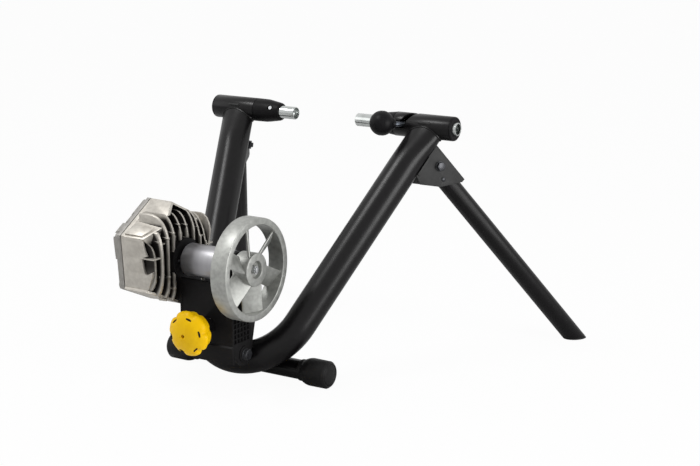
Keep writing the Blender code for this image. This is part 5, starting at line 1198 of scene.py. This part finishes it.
def makeKnob():
    wide, hole, depth, cup = clutch["knob"], clutch["hole"], clutch["depth"], clutch["cup"]
    floor = depth - clutch["cupDepth"]
    profile = [(0.0, hole), (0.0, 0.0040), (0.0003, 0.0085), (0.0018, 0.0170), (0.0034, 0.0215),
               (0.0058, 0.0260), (0.0080, 0.0295), (0.0104, 0.0320), (0.0128, wide - 0.0006),
               (0.0146, wide), (0.0176, wide), (0.0192, wide - 0.0010), (0.0230, wide - 0.0032),
               (depth, wide - 0.0052), (depth, cup), (floor, cup), (floor, screwHole),
               (0.005, screwHole), (0.005, hole)]
    first = (-clutchOut).cross(toZ).normalized()
    second = (-clutchOut).cross(first).normalized()
    rings = []
    for along, radius in profile:
        centre, ring = knobTip - clutchOut * along, []
        share = max(0.0, (radius - cup) / (wide - cup))
        for step in range(180):
            angle = math.tau * step / 180
            lobe = 0.5 - 0.5 * math.cos(clutch["lobes"] * (angle - clutch["lobePhase"]))
            reach = radius - clutch["lobeDepth"] * share * (1 - lobe) ** clutch["lobeSharp"]
            ring.append(centre + reach * (math.cos(angle) * first + math.sin(angle) * second))
        rings.append(ring)
    knob = loft(rings, True)
    cutters, slotShades = [], []
    length, width = clutch["slotLength"] / 2, clutch["slotWidth"] / 2
    outline = [(-width, -length), (width, -length), (width, length), (-width, length)]
    for number in range(clutch["lobes"]):  # a narrow slot behind each scallop, with a black block sunk in it as painted shade
        angle = clutch["lobePhase"] + math.tau * number / clutch["lobes"]
        ray = math.cos(angle) * first + math.sin(angle) * second
        around = math.cos(angle) * second - math.sin(angle) * first
        at = knobTip - clutchOut * clutch["slotStart"] + ray * clutch["slotRadius"]
        cutters.append(plate(outline, ray, around, -0.016, 0.016, at))
        slotShades.append(plate([(a * 0.98, b * 0.98) for a, b in outline], ray, around, -0.0050, 0.0008, at))
    for cutter in cutters:
        carve(knob, cutAway(cutter, knobTip - clutchOut * clutch["slotEnd"], -clutchOut))
    softened(knob, 0.0003, 2, 50)
    # the black blocks in the knob's slots are painted shade
    done(joined(slotShades), "knobSlotPlugs", "clutch_knob", "blackNylon", standsFor=False)
    done(knob, "clutchKnob", "clutch_knob", "knobPlastic")


def makeSpring():
    start = clutchPoint(yoke["rear"] - yoke["rearWall"]) - clutchOut * (gap + spring["wire"])
    count, path = spring["turns"] * spring["points"], []
    for step in range(count + 1):
        angle = math.tau * step / spring["points"]
        ray = math.cos(angle) * toX + math.sin(angle) * clutchUp
        path.append(start - clutchOut * (spring["length"] * step / count) + ray * spring["radius"])
    done(wire(path, spring["wire"], 16), "clutchSpring", "resistance_unit", "brightSteel")


makeSeat()
makeScrew()
makeKnob()
makeSpring()
print("clutch made")

# Camera, floor, lamps and the white surroundings
view = {"place": (1.4197, -2.1533, 0.7693), "turn": math.radians(32.73), "rise": math.radians(12.96),
        "lens": 82.9, "target": (0, 0, 0.2)}
lamps = (("rightLamp", (2.4, -0.10, 0.6), (1.1, 1.1), 34.0),
         ("topLamp", (-0.65, -1.0, 2.25), (0.9, 0.4), 24.0),
         ("leftLamp", (-2.1, -1.3, 1.3), (1.4, 1.4), 6.0))
surroundings = {"floor": 0.88, "floorRough": 0.9, "floorHeight": -0.0004, "floorWhite": 0.96, "world": 0.36}


def placed(name, data, place, look):
    holder = bpy.data.objects.new(name, data)
    bpy.context.scene.collection.objects.link(holder)
    holder.location = place
    holder.rotation_euler = look.to_track_quat("-Z", "Y").to_euler()
    return holder


def makeCamera():
    camera = bpy.data.cameras.new("camera")
    camera.lens = view["lens"]
    camera.sensor_width = 36
    camera.clip_end = 60
    turn, rise = view["turn"], view["rise"]
    look = Vector((-math.sin(turn) * math.cos(rise), math.cos(turn) * math.cos(rise), -math.sin(rise)))
    bpy.context.scene.camera = placed("camera", camera, Vector(view["place"]) + Vector((0, axle.y, 0)), look)


def makeFloor():
    clearAll()
    bpy.ops.mesh.primitive_plane_add(size=24, location=(0, 0, surroundings["floorHeight"]))
    floor = bpy.context.object
    floor.name = "floor"
    material = bpy.data.materials.new("paleFloor")
    material.use_nodes = True
    tree = material.node_tree
    shader = tree.nodes["Principled BSDF"]
    shader.inputs["Base Color"].default_value = (*[surroundings["floor"]] * 3, 1)
    shader.inputs["Roughness"].default_value = surroundings["floorRough"]
    glow = addNode(tree, "ShaderNodeEmission", {"Strength": 1.0})
    path = addNode(tree, "ShaderNodeLightPath").outputs
    seen = mathNodes(tree)("MULTIPLY", path["Is Camera Ray"], surroundings["floorWhite"])
    blend = addNode(tree, "ShaderNodeMixShader", {"Fac": seen, 1: shader.outputs["BSDF"], 2: glow.outputs[0]})
    tree.links.new(blend.outputs["Shader"], tree.nodes["Material Output"].inputs["Surface"])
    floor.data.materials.append(material)


def makeWorld():
    world = bpy.data.worlds.new("softWhite")
    bpy.context.scene.world = world
    world.use_nodes = True
    tree = world.node_tree
    tree.nodes.clear()
    white = (1, 1, 1, 1)
    dim = addNode(tree, "ShaderNodeBackground", {"Color": white, "Strength": surroundings["world"]})
    bright = addNode(tree, "ShaderNodeBackground", {"Color": white, "Strength": 1.0})
    path, add = addNode(tree, "ShaderNodeLightPath").outputs, mathNodes(tree)
    seen = add("MAXIMUM", path["Is Camera Ray"], path["Is Transmission Ray"])
    seen = add("MAXIMUM", seen, path["Is Glossy Ray"])
    blend = addNode(tree, "ShaderNodeMixShader", {"Fac": seen, 1: dim.outputs[0], 2: bright.outputs[0]})
    addNode(tree, "ShaderNodeOutputWorld", {"Surface": blend.outputs[0]})


def makeLamps():
    for name, place, (width, height), power in lamps:
        light = bpy.data.lights.new(name, "AREA")
        light.shape = "RECTANGLE"
        light.size, light.size_y = width, height
        light.energy = power
        placed(name, light, place, Vector(view["target"]) - Vector(place))


makeCamera()
makeFloor()
makeWorld()
makeLamps()
bpy.context.scene.view_settings.view_transform = "Standard"
print("camera, floor and lamps set")
